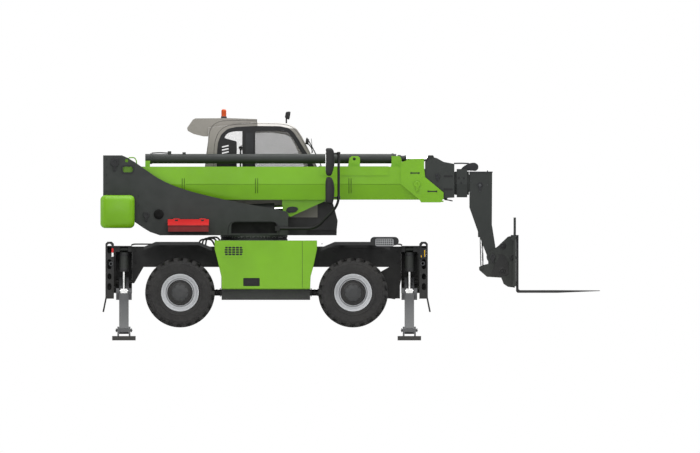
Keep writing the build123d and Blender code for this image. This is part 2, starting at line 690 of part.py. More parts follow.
# Nose: the last tube ends in two cheeks that hold the fork carriage and its tilt cylinder
tilt_pivot = (2110, 1236)
tilt_top = (1924, 2298)
tilt_eye = (1954, 1072)
nose_half_width = 130
nose_plate = 16
tilt_pin_radius = 47
carriage_half_width = 600
carriage_inner = nose_half_width + passing
carriage_plate = 30
carriage_boss = carriage_inner + carriage_plate + 8

with BuildPart() as boom_nose:
    boom_tube(3)
    nose = [
        (1767, 2489), (2105, 2489), (2100, 1715), (2160, 1332), (2185, 1200),
        (2068, 1147), (1920, 1533), (1767, 1968),
    ]
    cheeks(nose, nose_half_width - nose_plate, nose_plate)
    front = [(2075, 2489), (2105, 2489), (2100, 1715), (2150, 1400), (2130, 1400), (2075, 1715)]
    plate(front, boom_y, 2 * nose_half_width - 10)
    block((1767, 2100), (boom_y - nose_half_width + 2, boom_y + nose_half_width - 2), (2469, 2489))
    block((1767, 1787), (boom_y - nose_half_width + 2, boom_y + nose_half_width - 2), (1975, 2489))
    bar_y(*tilt_pivot, 60, boom_y - nose_half_width, boom_y + nose_half_width)
    bar_y(*tilt_pivot, tilt_pin_radius, boom_y - carriage_boss - 4, boom_y + carriage_boss + 4)
    bar_y(*tilt_top, 26, boom_y - nose_half_width - 6, boom_y + nose_half_width + 6)
save(boom_nose.part, "boom_nose")

# Telescope cylinder along the boom's back
with BuildPart() as telescope_barrel:
    bar_x(boom_y, telescope_z, telescope_radius, -3031, telescope_end_x)
    bar_x(boom_y, telescope_z, telescope_rod_radius + fit, -2960, 700, mode=Mode.SUBTRACT)
    block((-2480, -2430), (boom_y - 25, boom_y + 25), (2755, 2785))
save(telescope_barrel.part, "telescope_barrel")

with BuildPart() as telescope_rod:
    bar_x(boom_y, telescope_z, telescope_rod_radius, -2600, 1150)
    bar_y(1195, telescope_z, 48, boom_y - 44, boom_y + 44)
    bar_y(1195, telescope_z, 25 + fit, boom_y - 50, boom_y + 50, mode=Mode.SUBTRACT)
save(telescope_rod.part, "telescope_rod")

# Tilt cylinder inside the nose
tilt_dx = tilt_eye[0] - tilt_top[0]
tilt_dz = tilt_eye[1] - tilt_top[1]
tilt_length = math.hypot(tilt_dx, tilt_dz)
tilt_barrel_length = 770
tilt_rod_radius = 25


def along_tilt(distance):
    """The point on the tilt cylinder's axis at this distance from its upper pin."""
    share = distance / tilt_length
    return (tilt_top[0] + share * tilt_dx, boom_y, tilt_top[1] + share * tilt_dz)


with BuildPart() as tilt_barrel:
    bar_between(along_tilt(30), along_tilt(tilt_barrel_length), 48)
    bar_y(*tilt_top, 50, boom_y - 40, boom_y + 40)
    bar_between(along_tilt(70), along_tilt(tilt_barrel_length + 1), tilt_rod_radius + fit, mode=Mode.SUBTRACT)
    bar_y(*tilt_top, 26 + fit, boom_y - 100, boom_y + 100, mode=Mode.SUBTRACT)
save(tilt_barrel.part, "tilt_barrel")

with BuildPart() as tilt_rod:
    bar_between(along_tilt(600), along_tilt(tilt_length - 30), tilt_rod_radius)
    bar_y(*tilt_eye, 45, boom_y - 30, boom_y + 30)
    bar_y(*tilt_eye, 24, boom_y - carriage_inner + seat, boom_y + carriage_inner - seat)
save(tilt_rod.part, "tilt_rod")

# Fork carriage
fork_back_x = 2457
fork_hook_z = 1541
with BuildPart() as fork_carriage:
    cheek = [
        (2182, 1388), (2337, 1536), (2400, 1548), (2440, 1548), (2440, 780), (2337, 793), (2273, 836),
        (2238, 928), (2026, 941), (1912, 1040), (1912, 1085), (1948, 1111), (2045, 1134), (2045, 1300),
    ]
    cheeks(cheek, carriage_inner, carriage_plate)
    bar_y(*tilt_pivot, 90, boom_y - carriage_boss, boom_y + carriage_boss)
    for side in (1, -1):
        outer_y = boom_y + side * (carriage_inner + carriage_plate)
        bar_y(*tilt_eye, 24, outer_y - side * 20, outer_y + side * 14)
    wide = (boom_y - carriage_half_width, boom_y + carriage_half_width)
    block((2395, fork_back_x - seat), wide, (1480, fork_hook_z - seat))
    block((2410, fork_back_x - seat), wide, (800, 880))
    for y in (wide[0] + 12, wide[1] - 12, boom_y - 200, boom_y + 200):
        block((2420, 2456), (y - 12, y + 12), (870, 1819))
    block((2420, 2456), wide, (1795, 1819))
    inner = (boom_y - carriage_inner, boom_y + carriage_inner)
    block((1990, 2215), inner, (1145, 1340), mode=Mode.SUBTRACT)
    bar_y(*tilt_pivot, tilt_pin_radius + fit, boom_y - 400, boom_y + 400, mode=Mode.SUBTRACT)
save(fork_carriage.part, "fork_carriage")

# Forks: shanks hooked on the carriage's bars, and tapered blades
fork_spread = 380
fork_width = 130
with BuildPart() as forks:
    for side in (1, -1):
        side_view = [
            (fork_back_x, 1560), (2495, 1560), (2495, 760), (2512, 744), (3072, 744), (3697, 740),
            (3697, 730), (3072, 704), (2480, 704), (fork_back_x, 728),
        ]
        plate(side_view, boom_y + side * fork_spread, fork_width)
        hook = [(2380, fork_hook_z), (2460, fork_hook_z), (2460, 1560), (2380, 1560)]
        plate(hook, boom_y + side * fork_spread, fork_width)
save(forks.part, "forks")

# Cab: a hollow shell with window openings, its glass, and a door on the outer side
cab_floor_z = 1627.3
cab_wall = 60
cab_side = [
    (-2150, cab_floor_z), (-2146, 2581), (-2127, 2762), (-2100, 2951), (-2090, 3150), (-1376, 3230), (-1006, 3222),
    (-855, 3185), (-780, 3117), (-719, 3027), (-598, 2800), (-493, 2581), (-249, 2022), (-182, 1770), (-197, cab_floor_z),
]
door_hinge = (-1557, 1163)
door_hinge_z = (1950, 2850)


def inset(points, amount, y):
    """An outline moved inwards by this amount, as a face at this y."""
    with BuildSketch(side_plane(y)) as face:
        with BuildLine():
            Polyline(*points, close=True)
        make_face()
        offset(amount=-amount)
    return face.sketch


rear_window = [(-1957, 2300), (-1957, 2803), (-1927, 2981), (-1866, 3087), (-1761, 3146), (-1582, 3155), (-1582, 2300)]
side_window = [(-1416, 2250), (-1416, 3160), (-1157, 3160), (-931, 3130), (-839, 3085), (-764, 2981), (-628, 2740), (-540, 2530), (-430, 2250)]
door = [(-1560, 1700), (-1560, 3130), (-1157, 3140), (-931, 3110), (-839, 3065), (-775, 2960), (-560, 2500), (-370, 2040), (-330, 1900), (-330, 1700)]

with BuildPart() as cab_shell:
    middle_y = (cab_inner_y + cab_outer_y) / 2
    cab_width = cab_outer_y - cab_inner_y
    plate(cab_side, middle_y, cab_width)
    room = inset(cab_side, cab_wall, middle_y)
    extrude(room, amount=cab_width / 2 - cab_wall, both=True, mode=Mode.SUBTRACT)
    for window in (rear_window, side_window):
        plate(window, cab_inner_y, 300, mode=Mode.SUBTRACT)
    plate(rear_window, cab_outer_y, 300, mode=Mode.SUBTRACT)
    plate(door, cab_outer_y, 300, mode=Mode.SUBTRACT)
    front_opening = (cab_inner_y + 70, cab_outer_y - 70)
    block((-800, 0), front_opening, (2080, 2560), mode=Mode.SUBTRACT)
    block((-1000, -300), front_opening, (2600, 3150), mode=Mode.SUBTRACT)
    block((-2300, -2000), front_opening, (2300, 3050), mode=Mode.SUBTRACT)
    for z in door_hinge_z:
        bar_z(*door_hinge, hinge_pin_radius + 2, z - 40, z + 40)
        for start in (z - 40, z + 20 + seat):
            bar_z(*door_hinge, 11, start, start + 20 - seat)
            leaf = ((door_hinge[0] - 50, door_hinge[0] - 4), (cab_outer_y - 4, door_hinge[1] + 6))
            block(*leaf, (start, start + 20 - seat))
save(cab_shell.part, "cab_shell")

with BuildPart() as cab_door:
    extrude(inset(door, passing, cab_outer_y - cab_wall / 2), amount=cab_wall / 2, both=True)
    door_glass = [(-1490, 2300), (-1490, 3070), (-1157, 3080), (-960, 3050), (-880, 3010), (-830, 2930), (-640, 2500), (-560, 2300)]
    plate(door_glass, cab_outer_y, 300, mode=Mode.SUBTRACT)
    for z in door_hinge_z:
        bar_z(*door_hinge, 11, z - 20, z + 20)
        block((door_hinge[0], door_hinge[0] + 50), (cab_outer_y - 4, door_hinge[1] + 4), (z - 20, z + 20))
        bar_z(*door_hinge, hinge_pin_radius + 2 + fit, z - 30, z + 30, mode=Mode.SUBTRACT)
save(cab_door.part, "cab_door")

# Cab glass, each pane seated on its opening
pane = 6
glass_seat = 12
with BuildPart() as cab_glass:
    for window in (rear_window, side_window):
        plate(window, cab_inner_y + 20, pane)
    plate(rear_window, cab_outer_y - 20, pane)
save(cab_glass.part, "cab_glass")

with BuildPart() as cab_door_glass:
    plate(door_glass, cab_outer_y - 20, pane)
save(cab_door_glass.part, "cab_door_glass")

# Roof cap with the cooling unit at its rear
roof_cap = [
    (-2411, 3144), (-2327, 3265), (-2290, 3286), (-1791, 3290), (-1376, 3275),
    (-1376, 3231), (-2091, 3151), (-2098, 3019), (-2168, 3019), (-2319, 3056), (-2402, 3102),
]
with BuildPart() as cab_roof:
    plate(roof_cap, middle_y, cab_width - 60)
save(cab_roof.part, "cab_roof")

# Operator's seat and controls
with BuildPart() as operator_seat:
    floor_top = cab_floor_z + cab_wall + seat
    block((-1750, -1350), (middle_y - 180, middle_y + 180), (floor_top, 1950))
    plate([(-1800, 1950), (-1260, 1950), (-1240, 2010), (-1260, 2070), (-1800, 2040)], middle_y, 500)
    plate([(-1800, 2030), (-1700, 2030), (-1760, 2650), (-1860, 2650)], middle_y, 480)
save(operator_seat.part, "operator_seat")

with BuildPart() as controls:
    plate([(-760, floor_top), (-420, floor_top), (-420, 1950), (-620, 2250), (-760, 2250)], middle_y, 300)
    bar_between((-700, middle_y, 2200), (-850, middle_y, 2380), 30)
    with Locations(Location((-860, middle_y, 2392), (0, -50, 0))):
        Torus(175, 18)
        Box(350, 36, 20)
save(controls.part, "controls")

# Mirrors on their tube beside the boom
mirror_y = -950
mirror_tube_radius = 19
with BuildPart() as mirrors:
    with BuildLine() as route:
        FilletPolyline(
            (-1073, plate_outer_right - 30, 1656), (-505, -620, 1656), (-231, -850, 1933),
            (-168, mirror_y, 2060), (-168, mirror_y, 2790), radius=120,
        )
    with BuildSketch(Plane(route.line @ 0, z_dir=route.line % 0)):
        Circle(mirror_tube_radius)
    sweep(path=route.line)
    block((-1110, -1040), (plate_outer_right - 60, plate_outer_right - seat), (1620, 1690))
    for low, high in ((2439, 2848), (2017, 2418)):
        with Locations((-297, mirror_y, (low + high) / 2)):
            Box(90, 240, high - low)
        bar_x(mirror_y, (low + high) / 2, 14, -297, -168)
save(mirrors.part, "mirrors")

# Beacon and working lamp on the roof
with BuildPart() as beacon:
    bar_z(-1867, middle_y - 300, 45, 3290, 3310)
    bar_z(-1867, middle_y - 300, 38, 3310, 3422)
save(beacon.part, "beacon")

with BuildPart() as roof_lamp:
    bar_z(-955, middle_y - 300, 12, 3212.8, 3300)
    with Locations((-925, middle_y - 300, 3332)):
        Box(75, 110, 126)
save(roof_lamp.part, "roof_lamp")
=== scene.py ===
import json
import math

import bmesh
import bpy
from mathutils import Matrix, Vector


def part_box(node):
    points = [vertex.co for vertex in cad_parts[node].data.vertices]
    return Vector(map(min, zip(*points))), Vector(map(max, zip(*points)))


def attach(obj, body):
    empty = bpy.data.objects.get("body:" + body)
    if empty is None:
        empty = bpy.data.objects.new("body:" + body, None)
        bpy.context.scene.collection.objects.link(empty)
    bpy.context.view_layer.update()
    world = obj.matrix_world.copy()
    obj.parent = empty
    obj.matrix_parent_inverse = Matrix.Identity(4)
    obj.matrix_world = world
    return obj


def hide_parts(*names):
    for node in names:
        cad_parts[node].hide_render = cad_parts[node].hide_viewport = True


# A rotating telehandler: the finish of every surface, and the small parts that its solids don't have.
# Metres, in the machine's own frame: X forward along the boom, Y to the left, Z up from the ground.

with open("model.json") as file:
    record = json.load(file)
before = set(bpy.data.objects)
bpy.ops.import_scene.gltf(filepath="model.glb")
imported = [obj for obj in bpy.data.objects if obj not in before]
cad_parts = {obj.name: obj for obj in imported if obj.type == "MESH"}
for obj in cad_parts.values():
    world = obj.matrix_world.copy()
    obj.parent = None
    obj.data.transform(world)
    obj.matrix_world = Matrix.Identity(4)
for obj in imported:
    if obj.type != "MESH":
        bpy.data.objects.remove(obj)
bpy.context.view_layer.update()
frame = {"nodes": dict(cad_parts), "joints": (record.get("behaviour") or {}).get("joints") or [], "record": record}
scene = bpy.context.scene

# Photograph: its scale, and where the ground line is
METRES_PER_PIXEL = 0.0148
PHOTO_SIZE = (700, 453)
GROUND_ROW = 340.4

# Studio: the camera, the point that the lamps face, and the floor with the distances where it turns white
CAMERA_DISTANCE = 20
LAMP_TARGET = Vector((0, 0, 1.5))
FLOOR_HALF = 60
FLOOR_FADE = (4.5, 10)

PIVOT = {joint["name"]: Vector(joint["pos_m"]) for joint in frame["joints"] if "pos_m" in joint}
CORNERS = ("front_left", "front_right", "rear_left", "rear_right")
SIDES = ((-1, "right"), (1, "left"))
X, Y, Z = Vector((1, 0, 0)), Vector((0, 1, 0)), Vector((0, 0, 1))
RIGHT, LEFT = -Y, Y

# Depths (y) of the boom's middle, and of the faces that carry small parts
BOOM_MIDDLE = -0.2
BOOM_FACE = -0.41
HEAD_FACE = -0.428
SECTION_3_FACE = -0.375
COVER_FACE = -1.15
TURRET_FACE = -0.48
TURRET_LEFT_FACE = 0.08
TURRET_PIN_ENDS = (-0.5, 0.1)
TOOLBOX_FACE = -0.79
CAB_RIGHT_FACE = 0.17
CAB_LEFT_FACE = 1.15
MIRROR_Y = -0.95


def at(column, row, y):
    """The point at this place in the photograph, at this depth."""
    return Vector(((column - PHOTO_SIZE[0] / 2) * METRES_PER_PIXEL, y, (GROUND_ROW - row) * METRES_PER_PIXEL))


def line(y, places):
    """The points at these places in the photograph, all at this depth."""
    return [at(column, row, y) for column, row in places]


def turns(count, start=0.0):
    """The angles of this many places round a full turn."""
    return [start + 2 * math.pi * i / count for i in range(count)]


# Camera, light and floor
def make_camera():
    data = bpy.data.cameras.new("camera")
    data.type = "ORTHO"
    data.ortho_scale = PHOTO_SIZE[0] * METRES_PER_PIXEL
    camera = bpy.data.objects.new("camera", data)
    scene.collection.objects.link(camera)
    height = (GROUND_ROW - PHOTO_SIZE[1] / 2) * METRES_PER_PIXEL
    camera.location = (0, -CAMERA_DISTANCE, height)
    camera.rotation_euler = (math.radians(90), 0, 0)
    scene.camera = camera


def area_light(name, location, size, watts):
    """A soft square lamp that faces the middle of the machine."""
    data = bpy.data.lights.new(name, "AREA")
    data.shape = "SQUARE"
    data.size = size
    data.energy = watts
    lamp = bpy.data.objects.new(name, data)
    lamp.location = location
    lamp.rotation_euler = (LAMP_TARGET - Vector(location)).to_track_quat("-Z", "Y").to_euler()
    scene.collection.objects.link(lamp)


def make_light():
    """Five soft lamps, and a world that looks white but lights the machine softly."""
    area_light("lamp_above", (0, -1, 9), 9, 900)
    area_light("lamp_right", (-2, -11, 5), 7, 430)
    area_light("lamp_left", (3, 11, 6), 7, 400)
    area_light("lamp_front", (11, 0, 5), 6, 240)
    area_light("lamp_rear", (-11, 0, 5), 6, 240)
    world = bpy.data.worlds.new("studio")
    scene.world = world
    world.use_nodes = True
    tree = world.node_tree
    tree.nodes.clear()
    ray = add(tree, "LightPath").outputs
    seen = calc(tree, "MAXIMUM", ray["Is Camera Ray"], ray["Is Transmission Ray"])
    seen = calc(tree, "MAXIMUM", seen, ray["Is Glossy Ray"])
    soft = add(tree, "Background", {"Color": (0.93, 0.96, 1, 1), "Strength": 0.5})
    white = add(tree, "Background", {"Color": (1, 1, 1, 1), "Strength": 1})
    mixed = add(tree, "MixShader", {"Fac": seen, 1: soft.outputs[0], 2: white.outputs[0]})
    add(tree, "OutputWorld", {"Surface": mixed.outputs[0]})


def make_floor():
    """A floor that turns into the white of the world away from the machine."""
    data = bpy.data.meshes.new("floor")
    corners = [(FLOOR_HALF * x, FLOOR_HALF * y, 0) for x, y in ((-1, -1), (1, -1), (1, 1), (-1, 1))]
    data.from_pydata(corners, [], [(0, 1, 2, 3)])
    floor = bpy.data.objects.new("floor", data)
    scene.collection.objects.link(floor)
    made, tree, shader = new_material("floor_paint")
    tint = ramp(tree, noise(tree, 0.7), (0.86, 0.86, 0.86), (0.9, 0.9, 0.9))
    feed(tree, shader, {"Base Color": tint, "Roughness": 0.9})
    away = add(tree, "VectorMath", {0: object_place(tree)}, operation="LENGTH").outputs["Value"]
    start, end = FLOOR_FADE
    far = add(tree, "MapRange", {"From Min": start, "From Max": end, "Value": away}).outputs["Result"]
    glow = add(tree, "Emission")
    blended = add(tree, "MixShader", {"Fac": far, 1: shader.outputs[0], 2: glow.outputs[0]})
    feed(tree, tree.nodes["Material Output"], {"Surface": blended.outputs[0]})
    data.materials.append(made)


# Shader nodes
def feed(tree, node, inputs):
    """Gives each of these inputs its value, or links it to the output that feeds it."""
    for name, source in inputs.items():
        if isinstance(source, bpy.types.NodeSocket):
            tree.links.new(source, node.inputs[name])
        else:
            node.inputs[name].default_value = source
    return node


def add(tree, kind, inputs=None, **settings):
    """A new node of this kind, with its settings and its inputs."""
    node = tree.nodes.new("ShaderNode" + kind)
    for name, value in settings.items():
        setattr(node, name, value)
    return feed(tree, node, inputs or {})


def calc(tree, operation, first, second):
    """The result of a sum on two values, each a number or an output."""
    return add(tree, "Math", {0: first, 1: second}, operation=operation).outputs[0]


def product(tree, first, second, scale=1.0):
    return calc(tree, "MULTIPLY", calc(tree, "MULTIPLY", first, second), scale)


def object_place(tree):
    """The place on the object, which at rest is the place in the machine's frame."""
    return add(tree, "TexCoord").outputs["Object"]


def axes_of(tree):
    return add(tree, "SeparateXYZ", {"Vector": object_place(tree)}).outputs


def noise(tree, scale, detail=3, roughness=0.55):
    """The value of a noise that is fixed to the object."""
    inputs = {"Scale": scale, "Detail": detail, "Roughness": roughness, "Vector": object_place(tree)}
    return add(tree, "TexNoise", inputs).outputs["Fac"]


def ramp(tree, value, low, high):
    """A colour that goes from low to high as the value goes from 0.35 to 0.65."""
    node = add(tree, "ValToRGB", {"Fac": value})
    for element, position, colour in zip(node.color_ramp.elements, (0.35, 0.65), (low, high)):
        element.position = position
        element.color = (*colour, 1)
    return node.outputs["Color"]


def spread(tree, value, low, high):
    """The value mapped from 0.3..0.7 to low..high."""
    inputs = {"From Min": 0.3, "From Max": 0.7, "To Min": low, "To Max": high, "Value": value}
    return add(tree, "MapRange", inputs).outputs["Result"]


def level(tree, axis, low, high):
    """0 below the low place on this axis, 1 above the high one."""
    inputs = {"From Min": low, "From Max": high, "Value": axes_of(tree)[axis]}
    return add(tree, "MapRange", inputs).outputs["Result"]


def mix(tree, share, first, second):
    """The second colour over the first, by this share."""
    first, second = ((*colour, 1) if isinstance(colour, tuple) else colour for colour in (first, second))
    return add(tree, "Mix", {0: share, 6: first, 7: second}, data_type="RGBA").outputs[2]


def bump(tree, shader, height, depth):
    """Raises the surface by this height, up to this depth in metres."""
    node = add(tree, "Bump", {"Strength": 1, "Distance": depth, "Height": height})
    feed(tree, shader, {"Normal": node.outputs["Normal"]})


# Materials
def linear(red, green, blue):
    """A linear colour from its 0 to 255 screen values."""
    def one(value):
        value /= 255
        return value / 12.92 if value <= 0.04045 else ((value + 0.055) / 1.055) ** 2.4
    return one(red), one(green), one(blue)


def scaled(colour, factor):
    return tuple(min(1, value * factor) for value in colour)


DUST = linear(150, 142, 128)


def new_material(name):
    made = bpy.data.materials.new(name)
    made.use_nodes = True
    return made, made.node_tree, made.node_tree.nodes["Principled BSDF"]


def paint(name, colour, roughness=0.42, metallic=0.0, coat=0.0, dust=0.12, zones=()):
    """Sprayed paint: cloudy colour, fine orange peel, and dust that gathers low on the machine.

    Each zone holds another colour, and the levels (axis, low, high) that bound where it is used.
    """
    made, tree, shader = new_material(name)
    cloud = ramp(tree, noise(tree, 1.6), scaled(colour, 0.93), scaled(colour, 1.05))
    for other, bounds in zones:
        share = level(tree, *bounds[0])
        for bound in bounds[1:]:
            share = product(tree, share, level(tree, *bound))
        cloud = mix(tree, share, cloud, other)
    low = calc(tree, "SUBTRACT", 1, level(tree, "Z", 0.1, 1.6))
    share = product(tree, low, noise(tree, 38, 6, 0.7), dust)
    feed(tree, shader, {
        "Base Color": mix(tree, share, cloud, DUST), "Metallic": metallic, "Specular IOR Level": 0.24,
        "Roughness": spread(tree, noise(tree, 9, 4), roughness - 0.06, roughness + 0.08),
        "Coat Weight": coat, "Coat Roughness": 0.12,
    })
    bump(tree, shader, noise(tree, 420, 2), 0.00012)
    return made


def rubber(name, colour):
    """Black rubber: dull, with patches of dust and fine moulding grain."""
    made, tree, shader = new_material(name)
    cloud = ramp(tree, noise(tree, 5), scaled(colour, 0.85), scaled(colour, 1.15))
    share = product(tree, noise(tree, 22, 6, 0.7), noise(tree, 3), 0.1)
    feed(tree, shader, {
        "Base Color": mix(tree, share, cloud, DUST), "Specular IOR Level": 0.35,
        "Roughness": spread(tree, noise(tree, 30), 0.72, 0.9),
    })
    bump(tree, shader, noise(tree, 260, 4), 0.0004)
    return made


def chrome(name):
    """Polished hard chrome with faint wear."""
    made, tree, shader = new_material(name)
    feed(tree, shader, {
        "Base Color": ramp(tree, noise(tree, 14), (0.66, 0.66, 0.65), (0.8, 0.8, 0.8)), "Metallic": 1,
        "Roughness": spread(tree, noise(tree, 60, 5), 0.12, 0.24),
    })
    bump(tree, shader, noise(tree, 300, 2), 0.00004)
    return made


def glass(name, colour, alpha):
    """Tinted safety glass with a little dust on it. It is clearer behind x = -1.5, at the cab's rear."""
    made, tree, shader = new_material(name)
    smear = noise(tree, 6, 5, 0.6)
    clearer = calc(tree, "ADD", calc(tree, "MULTIPLY", level(tree, "X", -1.5, -1.48), 0.75), 0.25)
    feed(tree, shader, {
        "Base Color": mix(tree, product(tree, smear, smear, 0.2), colour, DUST),
        "Alpha": product(tree, spread(tree, smear, alpha - 0.02, alpha + 0.03), clearer),
        "Roughness": spread(tree, noise(tree, 12), 0.03, 0.08),
    })
    bump(tree, shader, noise(tree, 1.2), 0.0004)
    return made


def plastic(name, colour, roughness=0.5, grain=0.0003):
    """Moulded plastic with a fine leather grain."""
    made, tree, shader = new_material(name)
    feed(tree, shader, {
        "Base Color": ramp(tree, noise(tree, 12), scaled(colour, 0.88), scaled(colour, 1.1)),
        "Roughness": spread(tree, noise(tree, 40), roughness - 0.08, roughness + 0.08), "Specular IOR Level": 0.25,
    })
    bump(tree, shader, noise(tree, 700, 3), grain)
    return made


def wheel_paint(name, rings):
    """Paint in rings round each wheel's axle: rings holds (radius, colour), from the middle outwards."""
    made, tree, shader = new_material(name)
    front, rear = PIVOT["spin_front_left"], PIVOT["spin_rear_left"]
    axes = axes_of(tree)
    from_middle = calc(tree, "ADD", axes["X"], -(front.x + rear.x) / 2)
    along = calc(tree, "ADD", calc(tree, "ABSOLUTE", from_middle, 0), -(front.x - rear.x) / 2)
    flat = add(tree, "CombineXYZ", {"X": along, "Z": calc(tree, "ADD", axes["Z"], -front.z)})
    away = add(tree, "VectorMath", {0: flat.outputs[0]}, operation="LENGTH").outputs["Value"]
    colour = rings[0][1]
    for (radius, _), (_, after) in zip(rings, rings[1:]):
        colour = mix(tree, calc(tree, "GREATER_THAN", away, radius), colour, after)
    grime = product(tree, noise(tree, 16, 6, 0.7), noise(tree, 4, 3), 0.1)
    feed(tree, shader, {
        "Base Color": mix(tree, grime, colour, DUST), "Specular IOR Level": 0.35,
        "Roughness": spread(tree, noise(tree, 20), 0.34, 0.48),
    })
    bump(tree, shader, noise(tree, 300, 3), 0.00015)
    return made


GREEN = linear(102, 153, 10)
BLACK = linear(15, 15, 16)
SILVER = linear(196, 197, 199)
LOWER_CAB = (("X", -0.482, -0.478), ("Z", 2.056, 2.052))
# The pale zone on the front of the cab's roof is a painted highlight: top light on the roof's curve
FRONT_ROOF_HIGHLIGHT = (("X", -1.372, -1.366), ("Z", 3.13, 3.15))
SILL = (("Z", 0.757, 0.753),)
CAB_FLOOR = (("Z", 1.822, 1.818),)
TOOLBOX_FOOT = (("Z", 1.7035, 1.7005),)
PAD = (("Z", 0.068, 0.064),)
MATERIAL = {
    "tyre": rubber("tyre_rubber", linear(25, 25, 26)),
    # The grey ring from 0.2 to 0.214 m round the axle is painted shade in a groove of the rim
    "rim_paint": wheel_paint("wheel_paint", [
        (0.131, linear(34, 36, 38)), (0.188, linear(12, 12, 13)), (0.2, SILVER), (0.214, linear(120, 121, 123)),
        (1, SILVER),
    ]),
    "green_paint": paint("green_gloss", GREEN, coat=0.05, zones=((linear(44, 46, 47), SILL),)),
    "chrome_rod": chrome("hard_chrome"),
    "clear_glass": glass("cab_glazing", (0.02, 0.018, 0.018), 0.26),
    # The cab's beige has a black lower front and floor, and a pale front roof that is a painted highlight
    "cab_paint": paint(
        "cab_beige", linear(127, 123, 116), coat=0.05, dust=0.05,
        zones=((BLACK, LOWER_CAB), (BLACK, CAB_FLOOR), (linear(224, 220, 215), FRONT_ROOF_HIGHLIGHT))),
    "red_paint": paint("toolbox_red", linear(184, 30, 30), 0.45, coat=0.02, dust=0.05,
                       zones=((linear(108, 12, 12), TOOLBOX_FOOT),)),
    "seat_cover": plastic("seat_vinyl", linear(30, 30, 32), 0.6, 0.0006),
    "black_plastic": plastic("black_plastic", BLACK),
    "amber_plastic": plastic("amber_lens", linear(176, 66, 10), 0.35, 0.0001),
    "dark_steel": paint("dark_steel", linear(30, 31, 33), 0.5),
    # The legs' grey is lighter than the dark paint: a painted highlight for the top light on their upward faces; the
    # pads below keep a dark grey
    "grey_paint": paint("leg_grey_painted_highlight", linear(84, 85, 87), 0.48, zones=((linear(34, 35, 36), PAD),)),
    # Blacker than the dark paint: painted shade on the chassis's frame and on the turret's pin keepers and rims, and
    # the own dark colour of bolts, brackets and plates
    "black_paint_and_painted_shade": paint("black_paint_and_painted_shade", linear(24, 25, 26), 0.5),
    # Near-black: painted shade in the turret's arch and behind the step treads' holes, and the black of the turret's
    # port cap
    "near_black_and_painted_shade": paint("near_black_and_painted_shade", linear(4, 4, 4), 0.85, dust=0.02),
    # A darker copy of the green: painted shade along the boom's weld seams and creases
    "green_painted_shade": paint("green_painted_shade", scaled(GREEN, 0.36), 0.5),
    "dark_paint": paint("dark_grey", linear(37, 40, 38), 0.5),
    "black_rubber": rubber("hose_rubber", linear(26, 26, 27)),
    "bolt_steel": paint("bolt_steel", linear(62, 63, 65), metallic=0.3),
    "mirror_glass": chrome("mirror_face"),
    "white_lens": plastic("white_lens", linear(228, 228, 225), 0.2, 0.0001),
    "red_lens": plastic("red_lens", linear(190, 20, 18), 0.2, 0.0001),
    "yellow_lens": plastic("yellow_lens", linear(205, 160, 30), 0.3, 0.0001),
    "lamp_glass": glass("lamp_glass", (0.5, 0.5, 0.5), 0.3),
    "sheet_steel": paint("tread_steel", linear(128, 129, 130), 0.5, metallic=0.3),
}


def finish_frame():
    """Gives every solid its material. The chassis's frame and what hangs on it get a blacker paint than the turret:
    painted shade, as the frame lies in the turret's shadow.
    """
    slots = {part["node"]: part["material_slot"] for part in frame["record"]["subparts"]}
    for name in ("chassis_frame", "wheel_guards", "outrigger_frames", "axles"):
        slots[name] = "black_paint_and_painted_shade"
    for name, node in frame["nodes"].items():
        for place in node.material_slots:
            place.material = MATERIAL[slots[name]]
        if not node.material_slots:
            node.data.materials.append(MATERIAL[slots[name]])


# Shapes: how close points are made one, the least radius at the tip of a form, and the edges that are bevelled
WELD = 0.00001
LEAST_RADIUS = 0.0002
LEAST_STEP = 0.0004
BEVEL_ANGLE = math.radians(40)


